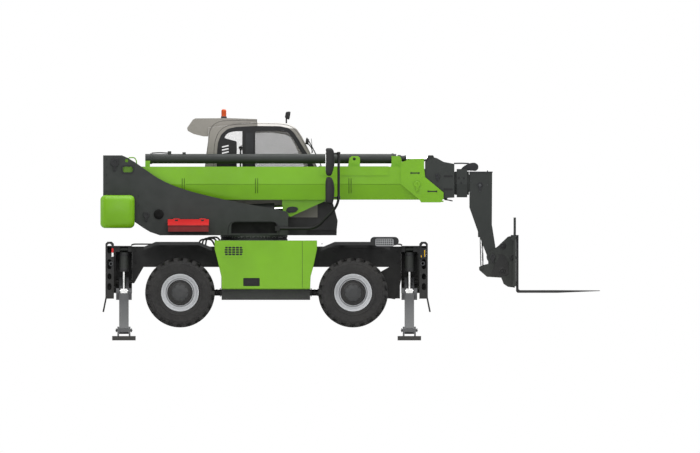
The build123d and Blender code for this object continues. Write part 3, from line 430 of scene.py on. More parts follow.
class Shape:
    """A mesh made of closed forms, in metres, in the machine's frame. Each form added gives the shape back."""

    def __init__(self):
        self.mesh = bmesh.new()

    def hull(self, rings, closed=True):
        """Quads between rings of as many points each, with the two ends capped."""
        made = [[self.mesh.verts.new(point) for point in ring] for ring in rings]
        count = len(made[0])
        for ring, after in zip(made, made[1:]):
            for i in range(count):
                j = (i + 1) % count
                self.mesh.faces.new((ring[i], ring[j], after[j], after[i]))
        if closed:
            self.mesh.faces.new(list(reversed(made[0])))
            self.mesh.faces.new(made[-1])
        return self

    def box(self, corner, opposite):
        (x0, x1), (y0, y1), (z0, z1) = (sorted(pair) for pair in zip(corner, opposite))
        ring = [(x0, y0), (x1, y0), (x1, y1), (x0, y1)]
        return self.hull([[(x, y, z) for x, y in ring] for z in (z0, z1)])

    def prism(self, outline, y0, y1):
        """A plate with this outline in the side view (x, z), between these y."""
        return self.hull([[(x, y, z) for x, z in outline] for y in sorted((y0, y1))])

    def panel(self, outline, holes, y0, y1):
        """A plate with holes: its outline and each hole are closed loops of (x, z)."""
        curve = bpy.data.curves.new("panel", "CURVE")
        curve.dimensions = "2D"
        curve.fill_mode = "BOTH"
        curve.extrude = abs(y1 - y0) / 2
        for points in (outline, *holes):
            spline = curve.splines.new("POLY")
            spline.points.add(len(points) - 1)
            for point, (x, z) in zip(spline.points, points):
                point.co = (x, z, 0, 1)
            spline.use_cyclic_u = True
        carrier = bpy.data.objects.new("panel", curve)
        scene.collection.objects.link(carrier)
        data = bpy.data.meshes.new_from_object(carrier.evaluated_get(bpy.context.evaluated_depsgraph_get()))
        upright = Matrix.Rotation(math.radians(90), 4, "X")
        data.transform(Matrix.Translation((0, (y0 + y1) / 2, 0)) @ upright)
        self.mesh.from_mesh(data)
        bmesh.ops.remove_doubles(self.mesh, verts=self.mesh.verts, dist=WELD)
        bpy.data.objects.remove(carrier)
        bpy.data.curves.remove(curve)
        bpy.data.meshes.remove(data)
        return self

    def turned(self, centre, axis, profile, sides=48, solid=True):
        """A turned form: profile holds (distance along the axis, radius).

        If it isn't solid, the profile ends where it starts, and the form is a closed ring.
        """
        axis = Vector(axis).normalized()
        across = axis.orthogonal().normalized()
        other = axis.cross(across)
        spokes = [across * math.cos(turn) + other * math.sin(turn) for turn in turns(sides)]
        rings = [[Vector(centre) + axis * along + spoke * max(radius, LEAST_RADIUS) for spoke in spokes]
                 for along, radius in profile]
        if solid:
            return self.hull(rings)
        self.hull([*rings, rings[0]], False)
        bmesh.ops.remove_doubles(self.mesh, verts=self.mesh.verts, dist=WELD)
        return self

    def rod(self, start, end, radius, sides=24, chamfer=0.002):
        """A round bar with chamfered ends."""
        start, end = Vector(start), Vector(end)
        length = (end - start).length
        chamfer = min(chamfer, radius / 3, length / 3)
        thin = radius - chamfer
        profile = [(0, thin), (chamfer, radius), (length - chamfer, radius), (length, thin)]
        return self.turned(start, end - start, profile, sides)

    def bolt(self, centre, axis, size):
        """A washer and a hexagon head that stand on this point. size is the thread's diameter."""
        self.turned(centre, axis, [(0, size), (0.15 * size, 1.05 * size), (0.25 * size, size)], 20)
        head = [(0.25 * size, 0.85 * size), (0.8 * size, 0.85 * size), (0.9 * size, 0.72 * size)]
        return self.turned(centre, axis, head, 6)

    def pipe(self, points, radius, bend=0.06, sides=12):
        """A round pipe through these points, with its corners bent to this radius."""
        path = rounded(points, bend)
        rings = []
        across = None
        for i, point in enumerate(path):
            axis = (path[min(i + 1, len(path) - 1)] - path[max(i - 1, 0)]).normalized()
            across = axis.orthogonal() if across is None else across - axis * across.dot(axis)
            across.normalize()
            other = axis.cross(across)
            rings.append([point + (across * math.cos(turn) + other * math.sin(turn)) * radius
                          for turn in turns(sides)])
        return self.hull(rings)

    def piece(self, name, body, material, bevel=0.0, smooth=35):
        """Ends the shape as a piece that rides on this body."""
        bmesh.ops.recalc_face_normals(self.mesh, faces=self.mesh.faces)
        data = bpy.data.meshes.new(name)
        self.mesh.to_mesh(data)
        self.mesh.free()
        made = bpy.data.objects.new(name, data)
        scene.collection.objects.link(made)
        data.materials.append(MATERIAL[material])
        if bevel:
            modifier = made.modifiers.new("edges", "BEVEL")
            modifier.width = bevel
            modifier.segments = 2
            modifier.limit_method = "ANGLE"
            modifier.angle_limit = BEVEL_ANGLE
            modifier.harden_normals = False
        data.shade_smooth()
        data.set_sharp_from_angle(angle=math.radians(smooth))
        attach(made, body)
        return made


def rounded(points, bend, steps=6):
    """The points of a line with each corner replaced by an arc-like curve."""
    points = [Vector(point) for point in points]
    path = [points[0]]
    for before, corner, after in zip(points, points[1:], points[2:]):
        reach = min(bend, (corner - before).length / 2, (after - corner).length / 2)
        start = corner + (before - corner).normalized() * reach
        end = corner + (after - corner).normalized() * reach
        for i in range(steps + 1):
            t = i / steps
            path.append(start * (1 - t) ** 2 + corner * 2 * t * (1 - t) + end * t ** 2)
    path.append(points[-1])
    return path


def circle(centre, radius, count):
    """Points round a circle in the side view, as (x, z)."""
    return [(centre[0] + radius * math.cos(turn), centre[1] + radius * math.sin(turn)) for turn in turns(count)]


def squarish(half_width, half_height, power, count):
    """Points (across, up) round an ellipse swollen towards its box: the higher the power, the squarer."""
    points = []
    for turn in turns(count):
        across, up = math.cos(turn), math.sin(turn)
        share = (abs(across) ** power + abs(up) ** power) ** (-1 / power)
        points.append((half_width * across * share, half_height * up * share))
    return points


def loop(points, bend=0.0):
    """A closed outline in the side view through these places in the photograph, with rounded corners."""
    places = line(0, points)
    if bend:
        middle = (places[-1] + places[0]) / 2
        places = rounded([middle, *places, middle], bend, 5)
    path = []
    for place in places:
        if not path or (place - path[-1]).length > LEAST_STEP:
            path.append(place)
    if (path[0] - path[-1]).length < LEAST_STEP:
        path.pop()
    return [(place.x, place.z) for place in path]


def stadium(left, right, low, high, bend):
    """A rounded rectangle between these places in the photograph."""
    return loop([(left, low), (right, low), (right, high), (left, high)], bend)


def bolts(name, body, places, axis, size, material):
    """Bolts with their washers, all facing along this axis."""
    shape = Shape()
    for place in places:
        shape.bolt(place, axis, size)
    return shape.piece(name, body, material, smooth=30)


def keeper(shape, centre, axis, radius, down):
    """A round pin cap with its keeper plate below, held by two bolts."""
    across = axis.cross(Z).normalized()
    shape.turned(centre, axis, [(0, radius), (0.006, radius), (0.009, radius * 0.93), (0.009, radius * 0.45),
                                (0.005, radius * 0.4), (0.005, 0.001)], 40)
    top = radius * 0.8
    corners = [centre + across * side * 0.02 - Z * drop
               for side, drop in ((-1, top), (1, top), (1, down), (-1, down))]
    shape.hull([corners, [corner + axis * 0.008 for corner in corners]])
    for drop in (radius + 0.012, down - 0.012):
        shape.bolt(centre - Z * drop + axis * 0.008, axis, 0.008)


def keeper_pair(shape, column, row, depths, radius, down):
    """A keeper on each side of a pin, at its right and left ends' depths."""
    for y, axis in zip(depths, (RIGHT, LEFT)):
        keeper(shape, at(column, row, y), axis, radius, down)


# Tyres: a smooth carcass with moulded rings, and curved lugs that run over the shoulders
BEAD_RADIUS = 0.2626
LUG_COUNT = 22
LUG_WIDTH = 0.056
LUG_DEPTH = 0.044
LUG_SKEW = 0.13
LUG_STATIONS = 9


def tyre_profile(half, low, radius):
    """The tyre's cross-section from the right bead to the left, as (along the axle, radius)."""
    tread = radius - LUG_DEPTH
    right = [
        (half * 0.68, low), (half * 0.76, low + 0.017), (half * 0.86, low + 0.021), (half * 0.93, low + 0.036),
        (half * 0.955, low + 0.06), (half * 0.985, low + 0.066), (half * 0.99, low + 0.072),
        (half * 0.97, low + 0.078), (half * 0.99, low + 0.11), (half, low + 0.14), (half * 0.992, low + 0.158),
        (half, low + 0.162), (half, low + 0.168), (half * 0.985, low + 0.172), (half * 0.955, tread - 0.03),
        (half * 0.9, tread - 0.011), (half * 0.8, tread), (half * 0.4, tread + 0.003), (0, tread + 0.004),
    ]
    return right + [(-along, r) for along, r in reversed(right[:-1])]


def lug(shape, centre, side, turn, half, radius):
    """One lug: a bar that curves from the middle of the tread over the shoulder."""
    rings = []
    for i in range(LUG_STATIONS):
        t = i / (LUG_STATIONS - 1)
        on_tread = min(1, t / 0.8)
        over = max(0, (t - 0.8) / 0.2)
        along = side * (0.018 + on_tread * (half * 0.86 - 0.018) + over * half * 0.105)
        top = radius - 0.006 * on_tread ** 2 - over * 0.05
        base = radius - LUG_DEPTH - 0.012 - over * 0.062
        middle = turn + LUG_SKEW * (on_tread ** 1.35 - 0.5)
        wide = LUG_WIDTH * (0.5 + 0.06 * on_tread)
        ring = []
        edge = top - 0.006
        for offset, r in ((-1.2, base), (-1, edge), (-0.86, top), (0.86, top), (1, edge), (1.2, base)):
            angle = middle + offset * wide / radius
            ring.append((centre.x + r * math.cos(angle), centre.y + along, centre.z + r * math.sin(angle)))
        rings.append(ring)
    shape.hull(rings)


def make_tyre(corner):
    low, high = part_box("tyre_" + corner)
    centre = (low + high) / 2
    half = (high.y - low.y) / 2
    radius = (high.z - low.z) / 2
    shape = Shape().turned(centre, Y, tyre_profile(half, BEAD_RADIUS, radius), 88, False)
    pitch = 2 * math.pi / LUG_COUNT
    for side in (1, -1):
        for i in range(LUG_COUNT):
            lug(shape, centre, side, (i + 0.25 * side) * pitch, half, radius - 0.002)
    made = shape.piece("tyre_tread_" + corner, "wheel_" + corner, "tyre", smooth=30)
    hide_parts("tyre_" + corner)


def make_wheel_nuts(corner):
    """Twelve wheel nuts on the rim, and eight studs on the hub."""
    centre = PIVOT["spin_" + corner]
    outwards = LEFT if corner.endswith("left") else RIGHT
    shape = Shape()
    for count, start, radius, stand, size in ((12, math.pi / 12, 0.163, 0.088, 0.02), (8, 0, 0.112, 0.1435, 0.01)):
        for turn in turns(count, start):
            spoke = X * math.cos(turn) + Z * math.sin(turn)
            shape.bolt(centre + spoke * radius + outwards * stand, outwards, size)
    shape.piece("wheel_nuts_" + corner, "wheel_" + corner, "dark_steel", smooth=30)


def make_cover():
    """Right cover: its latch, its grille with the mesh behind, and a seam."""
    middle = at(251.45, 282.05, COVER_FACE)
    x, y, z = middle
    tray = Shape()
    tray.box((x - 0.121, y + 0.0125, z - 0.0595), (x + 0.121, y + 0.0137, z + 0.0595))
    tray.box((x - 0.08, y + 0.0008, z - 0.042), (x + 0.08, y + 0.0135, z + 0.042))
    tray.box((x - 0.07, y - 0.003, z - 0.03), (x + 0.045, y + 0.002, z + 0.018))
    tray.turned((x + 0.06, y + 0.002, z), RIGHT, [(0, 0.013), (0.003, 0.012)], 24)
    tray.piece("cover_latch", "side_cover", "black_plastic", 0.003)
    mesh = Shape().prism(stadium(222.5, 244.9, 256.5, 245.7, 0.06), COVER_FACE - 0.0016, COVER_FACE + 0.003)
    mesh.piece("grille_mesh", "side_cover", "black_plastic")
    holes = []
    for column in range(5):
        for row in range(4):
            left, top, width = 224.6 + 3.75 * column, 246.75 + 2.25 * row, 3.2
            if column in (0, 4) and row in (0, 3):
                left += 0.55 if column == 0 else -0.05
                width = 2.7
            holes.append(stadium(left, left + width, top + 1.75, top, 0.011))
    edge = stadium(221.9, 245.5, 257.1, 245.1, 0.066)
    lattice = Shape().panel(edge, holes, COVER_FACE - 0.0045, COVER_FACE - 0.0017)
    lattice.piece("grille_lattice", "side_cover", "green_paint", smooth=30)
    x = at(302.3, 0, 0).x
    seam = Shape().box((x - 0.0025, COVER_FACE - 0.001, 0.775), (x + 0.0025, COVER_FACE + 0.004, 1.47))
    seam.piece("cover_seam", "side_cover", "black_rubber")


def make_chassis_hoses():
    """Hoses that arch out of the frame beside the turret and at both ends."""
    hoses = Shape()
    for side in (1, -1):
        for i in range(3):
            x = -2.24 + 0.05 * i
            y = side * (0.46 + 0.035 * i)
            hoses.pipe([(x, y, 1.40), (x + 0.02, y, 1.49 + 0.015 * i), (x + 0.19, y * 0.97, 1.5 + 0.015 * i),
                        (x + 0.24, y * 0.93, 1.40)], 0.013, 0.05)
        for x, direction in ((-3.2, -1), (0.735, 1)):
            for i in range(2):
                y = side * (0.6 + 0.04 * i)
                hoses.pipe([(x - direction * 0.5, side * 0.35, 1.4 + 0.02 * i),
                            (x - direction * 0.2, side * 0.4, 1.425), (x, y - side * 0.08, 1.425),
                            (x + direction * 0.03, y, 1.412)], 0.011, 0.06)
    hoses.piece("chassis_hoses", "chassis", "black_rubber", smooth=60)


def make_chassis():
    """The frame's bolts, the guards' brackets, and the treads of the steps and sills."""
    places = [(column, row) for column in (136, 150, 198, 212, 319, 334, 382, 398) for row in (250.5, 263)]
    for side, word in SIDES:
        bolts("frame_bolts_" + word, "chassis", line(side * 0.42, places), Y * side, 0.013, "black_paint_and_painted_shade")
    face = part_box("wheel_guards")[1].y
    holes = []
    for i in range(8):
        for k in range(3):
            left, top = 376.4 + 2.1 * i, 239.4 + 2.2 * k
            holes.append(stadium(left, left + 1.3, top + 1.3, top, 0.007))
    for side, word in SIDES:
        places = line(side * face, [(column, 243.8) for column in (158, 170, 184, 196, 322, 336, 350)])
        bolts("guard_bolts_" + word, "chassis", places, Y * side, 0.008, "black_paint_and_painted_shade")
        bracket = Shape()
        for points in (
            [(143.6, 248), (155.6, 243.2), (198.5, 243.2), (211.9, 248.6)],
            [(389.6, 248), (377.6, 243.2), (334.7, 243.2), (321.3, 248.6)],
        ):
            bracket.prism(loop(points), side * 0.4212, side * 0.4272)
        bracket.piece("guard_brackets_" + word, "chassis", "black_paint_and_painted_shade", 0.001)
        tread = Shape()
        tread.panel(stadium(375.4, 393.6, 246.2, 238.6, 0.03), holes, side * (face + 0.0025), side * (face + 0.006))
        tread.piece("step_tread_" + word, "chassis", "sheet_steel", smooth=30)
        # A near-black plate behind the tread: painted shade that shows through its holes
        tread = Shape()
        tread.prism(stadium(375, 394, 246.5, 238.3, 0.03), side * (face + 0.0002), side * (face + 0.0022))
        tread.piece("step_tread_back_" + word, "chassis", "near_black_and_painted_shade")
        sill = Shape()
        for i in range(14):
            x = -1.86 + 0.094 * i
            sill.box((x, side * 0.62, 0.7637), (x + 0.06, side * 0.798, 0.7665))
        sill.piece("sill_tread_" + word, "chassis", "sheet_steel", 0.001)


def make_joints():
    """The universal joints at both ends of the belly, and the frame under the cab."""
    shape = Shape()
    for start, axis in ((at(310.6, 292.4, 0), X), (at(220.8, 292.4, 0), -X)):
        shape.turned(start, axis, [(0, 0.062), (0.014, 0.062), (0.016, 0.03), (0.03, 0.03)], 32)
        shape.turned(start + axis * 0.088, axis, [(0, 0.03), (0.012, 0.03), (0.014, 0.055), (0.028, 0.055)], 32)
        for across in (Y, Z):
            for sign in (-1, 1):
                cap = start + axis * 0.06 + across * sign * 0.018
                shape.turned(cap, across * sign, [(0, 0.014), (0.026, 0.014), (0.028, 0.011)], 20)
        for sign in (-1, 1):
            ear = start + axis * 0.015 + Y * sign * 0.032
            shape.box(ear - Vector((0, 0.008, 0.02)), ear + Vector((axis.x * 0.06, 0.008, 0.02)))
        for turn in turns(6):
            shape.bolt(start + axis * 0.014 + (Y * math.cos(turn) + Z * math.sin(turn)) * 0.047, axis, 0.006)
    shape.piece("drive_shaft_joints", "chassis", "bolt_steel", 0.001, 35)
    under = Shape().prism(loop([(288, 235.3), (288, 230.4), (336.8, 230.4), (336.6, 235.3)]), 0.2, 1.1)
    under.piece("cab_underframe", "turret", "black_paint_and_painted_shade", 0.004)


def make_lamps():
    """Lenses of the lamps at the four corners, and the lashing rings."""
    low, high = 0.858, 0.9235
    for side, word in SIDES:
        for colour, z0, z1 in (("red", 1.3, 1.365), ("white", 1.238, 1.298)):
            rear = Shape().box((-3.529, side * low, z0), (-3.5, side * high, z1))
            rear.piece(f"rear_lens_{colour}_{word}", "chassis", colour + "_lens", 0.004)
        y0, y1 = sorted((side * low, side * high))
        front = Shape()
        for x, z0, z1 in ((1.098, 1.236, 1.336), (1.05, 1.228, 1.26)):
            front.box((x, y0 - 0.003, z0), (x + 0.012, y1 + 0.003, z1))
        front.piece("front_lamp_edge_" + word, "chassis", "yellow_lens", 0.003)
        lens = Shape()
        for z in (1.262, 1.326):
            lens.turned((1.117, side * 0.89, z), X, [(0, 0.027), (0.006, 0.026), (0.009, 0.02)], 32)
        lens.piece("front_lens_" + word, "chassis", "lamp_glass", smooth=50)
        ring = Shape()
        for centre in line(side * 0.858, [(111.1, 263.8), (422.7, 263.4)]):
            ring.turned(centre, Y * side, [(0, 0.034), (0.012, 0.034), (0.016, 0.03), (0.016, 0.02),
                                           (0.006, 0.018), (0, 0.018)], 32)
        ring.piece("lashing_rings_" + word, "chassis", "bolt_steel", smooth=40)


ARCH = [
    (227.8, 236), (228.4, 227), (230, 223.4), (234, 221.2), (273, 221.2), (276.8, 223.2), (278.4, 227), (279, 235),
]


def make_turret():
    """Pin keepers, bolts, the slots' rims, the toolbox's clips, and the drive that shows through the arch."""
    # The pin keepers are blacker than the turret: painted shade round the pins
    pins = Shape()
    keeper_pair(pins, 114.8, 162.4, TURRET_PIN_ENDS, 0.066, 0.13)
    keeper_pair(pins, 146.2, 214.9, TURRET_PIN_ENDS, 0.05, 0.1)
    pins.piece("turret_pin_keepers", "turret", "black_paint_and_painted_shade", 0.003, 30)
    cap = Shape()
    cap.turned(at(158.7, 214.2, -0.499), RIGHT, [(0, 0.073), (0.012, 0.073), (0.02, 0.066), (0.022, 0.03)], 40)
    cap.piece("turret_port_cap", "turret", "near_black_and_painted_shade", smooth=50)
    both = [(106.6, row) for row in (159, 167, 175, 183, 191)] + [(138.6, row) for row in (196, 205, 222)]
    right = both + [(214, 232.4), (222, 232.4), (286, 232.4), (284.5, 219), (284.5, 226)]
    bolts("turret_bolts_right", "turret", line(TURRET_FACE, right), RIGHT, 0.009, "dark_steel")
    bolts("turret_bolts_left", "turret", line(TURRET_LEFT_FACE, both), LEFT, 0.009, "dark_steel")
    drive = Shape()
    drive.turned((-1.3, -0.2, 1.584), Z, [(0, 0.12), (0.03, 0.12), (0.04, 0.09), (0.13, 0.09), (0.14, 0.075),
                                          (0.19, 0.07)], 40)
    drive.turned((-1.58, -0.3, 1.584), Z, [(0, 0.07), (0.12, 0.07), (0.13, 0.05), (0.16, 0.05)], 32)
    for y in (-0.09, -0.05, -0.3, -0.34):
        drive.pipe([(-1.95, y, 1.72), (-1.7, y, 1.79), (-1.4, y, 1.76), (-1.2, y, 1.66), (-1.15, y, 1.586)],
                   0.013, 0.1)
    drive.piece("slew_drive", "turret", "black_plastic", smooth=50)
    clips = Shape()
    for middle in line(TOOLBOX_FACE, [(176.4, 219.4), (202.5, 219.4)]):
        clips.box(middle + Vector((-0.022, -0.006, -0.026)), middle + Vector((0.022, 0.002, -0.002)))
    clips.piece("toolbox_clips", "turret", "black_plastic", 0.003)
    # The rims of the slot and along the arch are blacker than the turret: painted shade along their edges
    rims = Shape()
    rims.panel(stadium(121.4, 134.5, 173.8, 165.2, 0.062), [stadium(122.9, 133, 172.3, 166.7, 0.04)],
               TURRET_FACE - 0.008, TURRET_FACE - 0.0003)
    rims.pipe(line(TURRET_FACE, ARCH), 0.006, 0.08)
    rims.piece("turret_rims", "turret", "black_paint_and_painted_shade", 0.003, 40)
    # A near-black box inside the arch: painted shade in its recess
    well = Shape().box(at(229.5, 233.6, -0.43), at(279, 220.5, -0.42))
    well.piece("turret_well", "turret", "near_black_and_painted_shade", 0.001)


# The counterweight's ends as (distance inwards, shrink): cast round, or cut square with a small chamfer
CAST_END = ((0, 0.07), (0.02, 0.042), (0.045, 0.019), (0.075, 0.005), (0.1, 0))
CUT_END = ((0, 0.004), (0.004, 0))


def make_counterweight():
    """Three cast blocks with rounded edges, beside and between the turret's plates."""
    shape = Shape()
    low, high = at(100.4, 228.1, 0), at(134.6, 195.2, 0)
    for start, end, top, opening, closing in (
        (-0.85, -0.4803, high.z, CAST_END, CUT_END),
        (-0.4497, 0.0497, 2.04, CUT_END, CUT_END),
        (0.0803, 0.85, high.z, CUT_END, CAST_END),
    ):
        stations = [(start + inwards, shrink) for inwards, shrink in opening]
        stations += [(end - inwards, shrink) for inwards, shrink in reversed(closing)]
        rings = []
        for y, shrink in stations:
            bend = 0.07 - shrink * 0.5
            left, right = low.x + shrink + bend, high.x - shrink - bend
            bottom, upper = low.z + shrink + bend, top - shrink - bend
            ring = []
            for (x, z), first in zip(((left, bottom), (right, bottom), (right, upper), (left, upper)),
                                     (180, 270, 0, 90)):
                for k in range(9):
                    turn = math.radians(first + 90 * k / 8)
                    ring.append((x + bend * math.cos(turn), y, z + bend * math.sin(turn)))
            rings.append(ring)
        shape.hull(rings)
    made = shape.piece("counterweight_casting", "turret", "green_paint", smooth=60)
    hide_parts("counterweight")


# Cab: outlines in the photograph of its right frame, its panes and its roof seams
FRAME_EDGE = [
    (216.8, 168), (217.2, 150), (218, 142.5), (221.2, 134.5), (227.5, 129), (236, 127), (255, 126), (280, 126.2),
    (289, 128.2), (294.5, 133.2), (300.6, 143), (308.3, 155.5), (314.6, 168),
]
FRONT_PANE = [
    (255.2, 167.2), (255.2, 132.6), (256.4, 131.2), (283, 130.8), (287.8, 132.4), (291.4, 136.4), (296.8, 145),
    (302.2, 154.5), (308.6, 167.2),
]
REAR_PANE = [
    (236.8, 167.2), (236.8, 141.4), (224.3, 138), (226, 134.8), (229.2, 132.5), (235, 131.4), (242.4, 131.2),
    (242.4, 167.2),
]
PILLAR = [(245.6, 167), (245.6, 134.5), (247, 132.8), (252, 132.8), (253.3, 134.5), (253.3, 167)]
ROOF_SEAMS = (
    [(205.4, 166), (207.3, 150), (208.3, 141), (209.6, 131), (213.2, 124.6), (219, 121.4), (228, 120.4),
     (256.6, 120.2)],
    [(213.6, 166), (214, 150), (215, 141), (218.6, 131.4), (226, 126), (236, 124.2), (256.8, 123.6), (282, 123.9),
     (291.6, 126.2), (297, 131.6), (303.6, 142.4), (311, 155), (316, 166)],
)
# The left side's frames round its rear pane and its door, as (x, z)
LEFT_FRAME = [(-1.975, 2.26), (-1.975, 2.81), (-1.943, 2.995), (-1.878, 3.104), (-1.766, 3.166), (-1.565, 3.174),
              (-1.565, 2.26)]
LEFT_PANE = [(-1.945, 2.3), (-1.945, 2.803), (-1.915, 2.975), (-1.858, 3.074), (-1.757, 3.134), (-1.594, 3.143),
             (-1.594, 2.3)]
DOOR_FRAME = [(-1.53, 2.25), (-1.53, 3.1), (-1.157, 3.112), (-0.945, 3.084), (-0.857, 3.036), (-0.8, 2.945),
              (-0.61, 2.515), (-0.51, 2.25)]
DOOR_PANE = [(-1.488, 2.3), (-1.488, 3.068), (-1.157, 3.078), (-0.962, 3.048), (-0.882, 3.008), (-0.832, 2.928),
             (-0.642, 2.498), (-0.562, 2.3)]
DOOR_FOOT = [(-1.5, 1.74), (-1.5, 2.2), (-0.5, 2.2), (-0.385, 1.92), (-0.385, 1.74)]


def make_cab_frames():
    """The dark frames that hold the panes, the louvred panel, and the seams."""
    face = CAB_RIGHT_FACE
    plate, pillar, panel, seams = Shape(), Shape(), Shape(), Shape()
    louvres = []
    for i in range(5):
        row = 145.6 + 3.1 * i
        louvres.append(loop([(221.8, row + 0.9), (228.4, row - 0.7), (228.9, row + 0.6), (222.2, row + 2.2)], 0.006))
        panel.prism(loop([(221.2, row + 2.3), (229.4, row + 0.4), (229.6, row + 1.2), (221.4, row + 3.1)]),
                    face - 0.0004, face + 0.008)
    panes = [loop(FRONT_PANE, 0.02), loop(REAR_PANE, 0.02)]
    plate.panel(loop(FRAME_EDGE, 0.03), panes + louvres, face - 0.011, face - 0.0005)
    plate.piece("cab_frame_right", "turret", "black_plastic", 0.002, 30)
    pillar.prism(loop(PILLAR, 0.01), face - 0.017, face - 0.0112)
    for row in (140, 143.4, 146.8):
        pillar.prism(stadium(250.4, 251.8, row + 0.9, row, 0.006), face - 0.019, face - 0.0165)
    pillar.piece("cab_pillar_cover", "turret", "dark_steel", 0.002)
    panel.piece("cab_louvres", "turret", "black_plastic", 0.001)
    for path in ROOF_SEAMS:
        seams.pipe(line(face - 0.0008, path), 0.0026, 0.12, 8)
    x = at(256.9, 0, 0).x
    seams.rod((x, face - 0.001, 3.215), (x, face - 0.001, 3.272), 0.0026, 8)
    seams.piece("cab_seams_right", "turret", "black_rubber", smooth=60)
    face = CAB_LEFT_FACE
    left = Shape().panel(LEFT_FRAME, [LEFT_PANE], face + 0.0005, face + 0.008)
    left.piece("cab_frame_left", "turret", "black_plastic", 0.002, 30)
    door = Shape().panel(DOOR_FRAME, [DOOR_PANE], face + 0.0005, face + 0.007)
    door.prism(DOOR_FOOT, face + 0.0005, face + 0.005)
    door.piece("door_frame", "cab_door", "black_plastic", 0.002, 30)


def make_cab_fittings():
    """Door handle, grab rail, wiper and front mirror."""
    y = CAB_LEFT_FACE
    handle = Shape()
    handle.pipe([(-0.74, y + 0.004, 2.06), (-0.74, y + 0.05, 2.06), (-0.9, y + 0.05, 2.06), (-0.9, y + 0.004, 2.06)],
                0.011, 0.03)
    handle.box((-0.95, y + 0.0045, 2.03), (-0.69, y + 0.014, 2.09))
    handle.piece("door_handle", "cab_door", "black_plastic", 0.003)
    rail = Shape()
    rail.pipe([(-1.62, y + 0.002, 2.2), (-1.62, y + 0.06, 2.2), (-1.62, y + 0.06, 2.85), (-1.62, y + 0.002, 2.85)],
              0.013, 0.05)
    for z in (2.2, 2.85):
        rail.turned((-1.62, y + 0.0005, z), Y, [(0, 0.028), (0.006, 0.028), (0.009, 0.022)], 24)
    rail.piece("cab_grab_rail", "turret", "black_plastic", smooth=50)
    wiper = Shape()
    wiper.pipe([(-0.40, 0.66, 2.47), (-0.44, 0.66, 2.63), (-0.58, 0.6, 2.9), (-0.64, 0.58, 3.0)], 0.008, 0.1)
    wiper.turned((-0.452, 0.66, 2.55), (0.91, 0, 0.41), [(0, 0.03), (0.02, 0.03), (0.026, 0.02)], 24)
    wiper.piece("cab_wiper", "turret", "black_plastic", smooth=50)
    mirror = Shape()
    low, high = at(305.2, 144.8, 0), at(309.2, 138, 0)
    rings = []
    for y, shrink in ((0.1, 0.014), (0.108, 0.004), (0.17, 0), (0.232, 0.004), (0.24, 0.014)):
        rings.append([(low.x + shrink, y, low.z + shrink + 0.012), (high.x - shrink - 0.012, y, low.z + shrink),
                      (high.x - shrink, y, high.z - shrink - 0.016), (low.x + shrink + 0.014, y, high.z - shrink)])
    mirror.hull(rings)
    mirror.pipe([at(308.4, 144, 0.17), at(311.4, 147.4, 0.2), at(312.6, 152.6, 0.26)], 0.008, 0.03)
    mirror.pipe([at(311.2, 138.6, 0.2), at(312.2, 147, 0.24), at(311.6, 153.6, 0.27)], 0.004, 0.05, 8)
    mirror.piece("cab_front_mirror", "turret", "black_plastic", 0.006, 50)


def make_roof():
    """The beacon on its base, and the roof lamp with its lens."""
    low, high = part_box("beacon")
    radius = (high.x - low.x) / 2
    x, y = (low.x + high.x) / 2, (low.y + high.y) / 2
    base = Shape()
    base.turned((x, y, low.z), Z, [(0, radius), (0.012, radius), (0.02, radius * 0.9), (0.026, radius * 0.86)], 40)
    base.piece("beacon_base", "turret", "black_plastic", smooth=50)
    seat = 0.0265
    top = high.z - low.z - seat
    profile = [(0, radius * 0.85)]
    for i in range(1, 9):
        groove = top * 0.085 * i
        profile += [(groove - 0.003, radius * 0.84), (groove, radius * 0.815), (groove + 0.003, radius * 0.84)]
    profile += [(top * share, radius * width)
                for share, width in ((0.8, 0.83), (0.9, 0.74), (0.97, 0.5), (1, 0.15))]
    dome = Shape().turned((x, y, low.z + seat), Z, profile, 40)
    made = dome.piece("beacon_dome", "turret", "amber_plastic", smooth=40)
    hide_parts("beacon")
    low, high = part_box("roof_lamp")
    lamp = Shape()
    middle = Vector(((low.x + high.x) / 2 + 0.005, (low.y + high.y) / 2, high.z - 0.063))
    lamp.rod((middle.x - 0.02, middle.y, low.z), (middle.x - 0.02, middle.y, middle.z), 0.011)
    tilt = Matrix.Rotation(math.radians(10), 4, "Y")
    rings = []
    for along, half_width, half_height in (
        (-0.036, 0.022, 0.034), (-0.026, 0.036, 0.048), (0.004, 0.05, 0.058), (0.028, 0.053, 0.0605),
        (0.034, 0.05, 0.058),
    ):
        outline = squarish(half_width, half_height, 4, 32)
        rings.append([middle + tilt @ Vector((along, across, up)) for across, up in outline])
    lamp.hull(rings)
    made = lamp.piece("roof_lamp_housing", "turret", "black_plastic", smooth=50)
    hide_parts("roof_lamp")
    normal = tilt @ X
    lens = Shape().turned(middle + normal * 0.0342, normal, [(0, 0.043), (0.003, 0.041), (0.005, 0.03)], 32)
    lens.piece("roof_lamp_lens", "turret", "lamp_glass", smooth=50)


UPPER_MIRROR = [
    (325.8, 148), (331.8, 148), (333.8, 150.6), (334.7, 157), (334.5, 164), (333.2, 170.4), (331.4, 175.8),
    (326.6, 175.8), (325.6, 172),
]
LOWER_MIRROR = [
    (326.4, 177), (331.4, 177), (333.4, 181), (334.6, 188), (334.2, 197), (332.8, 204), (326.2, 204), (325.4, 200),
    (325.4, 182),
]


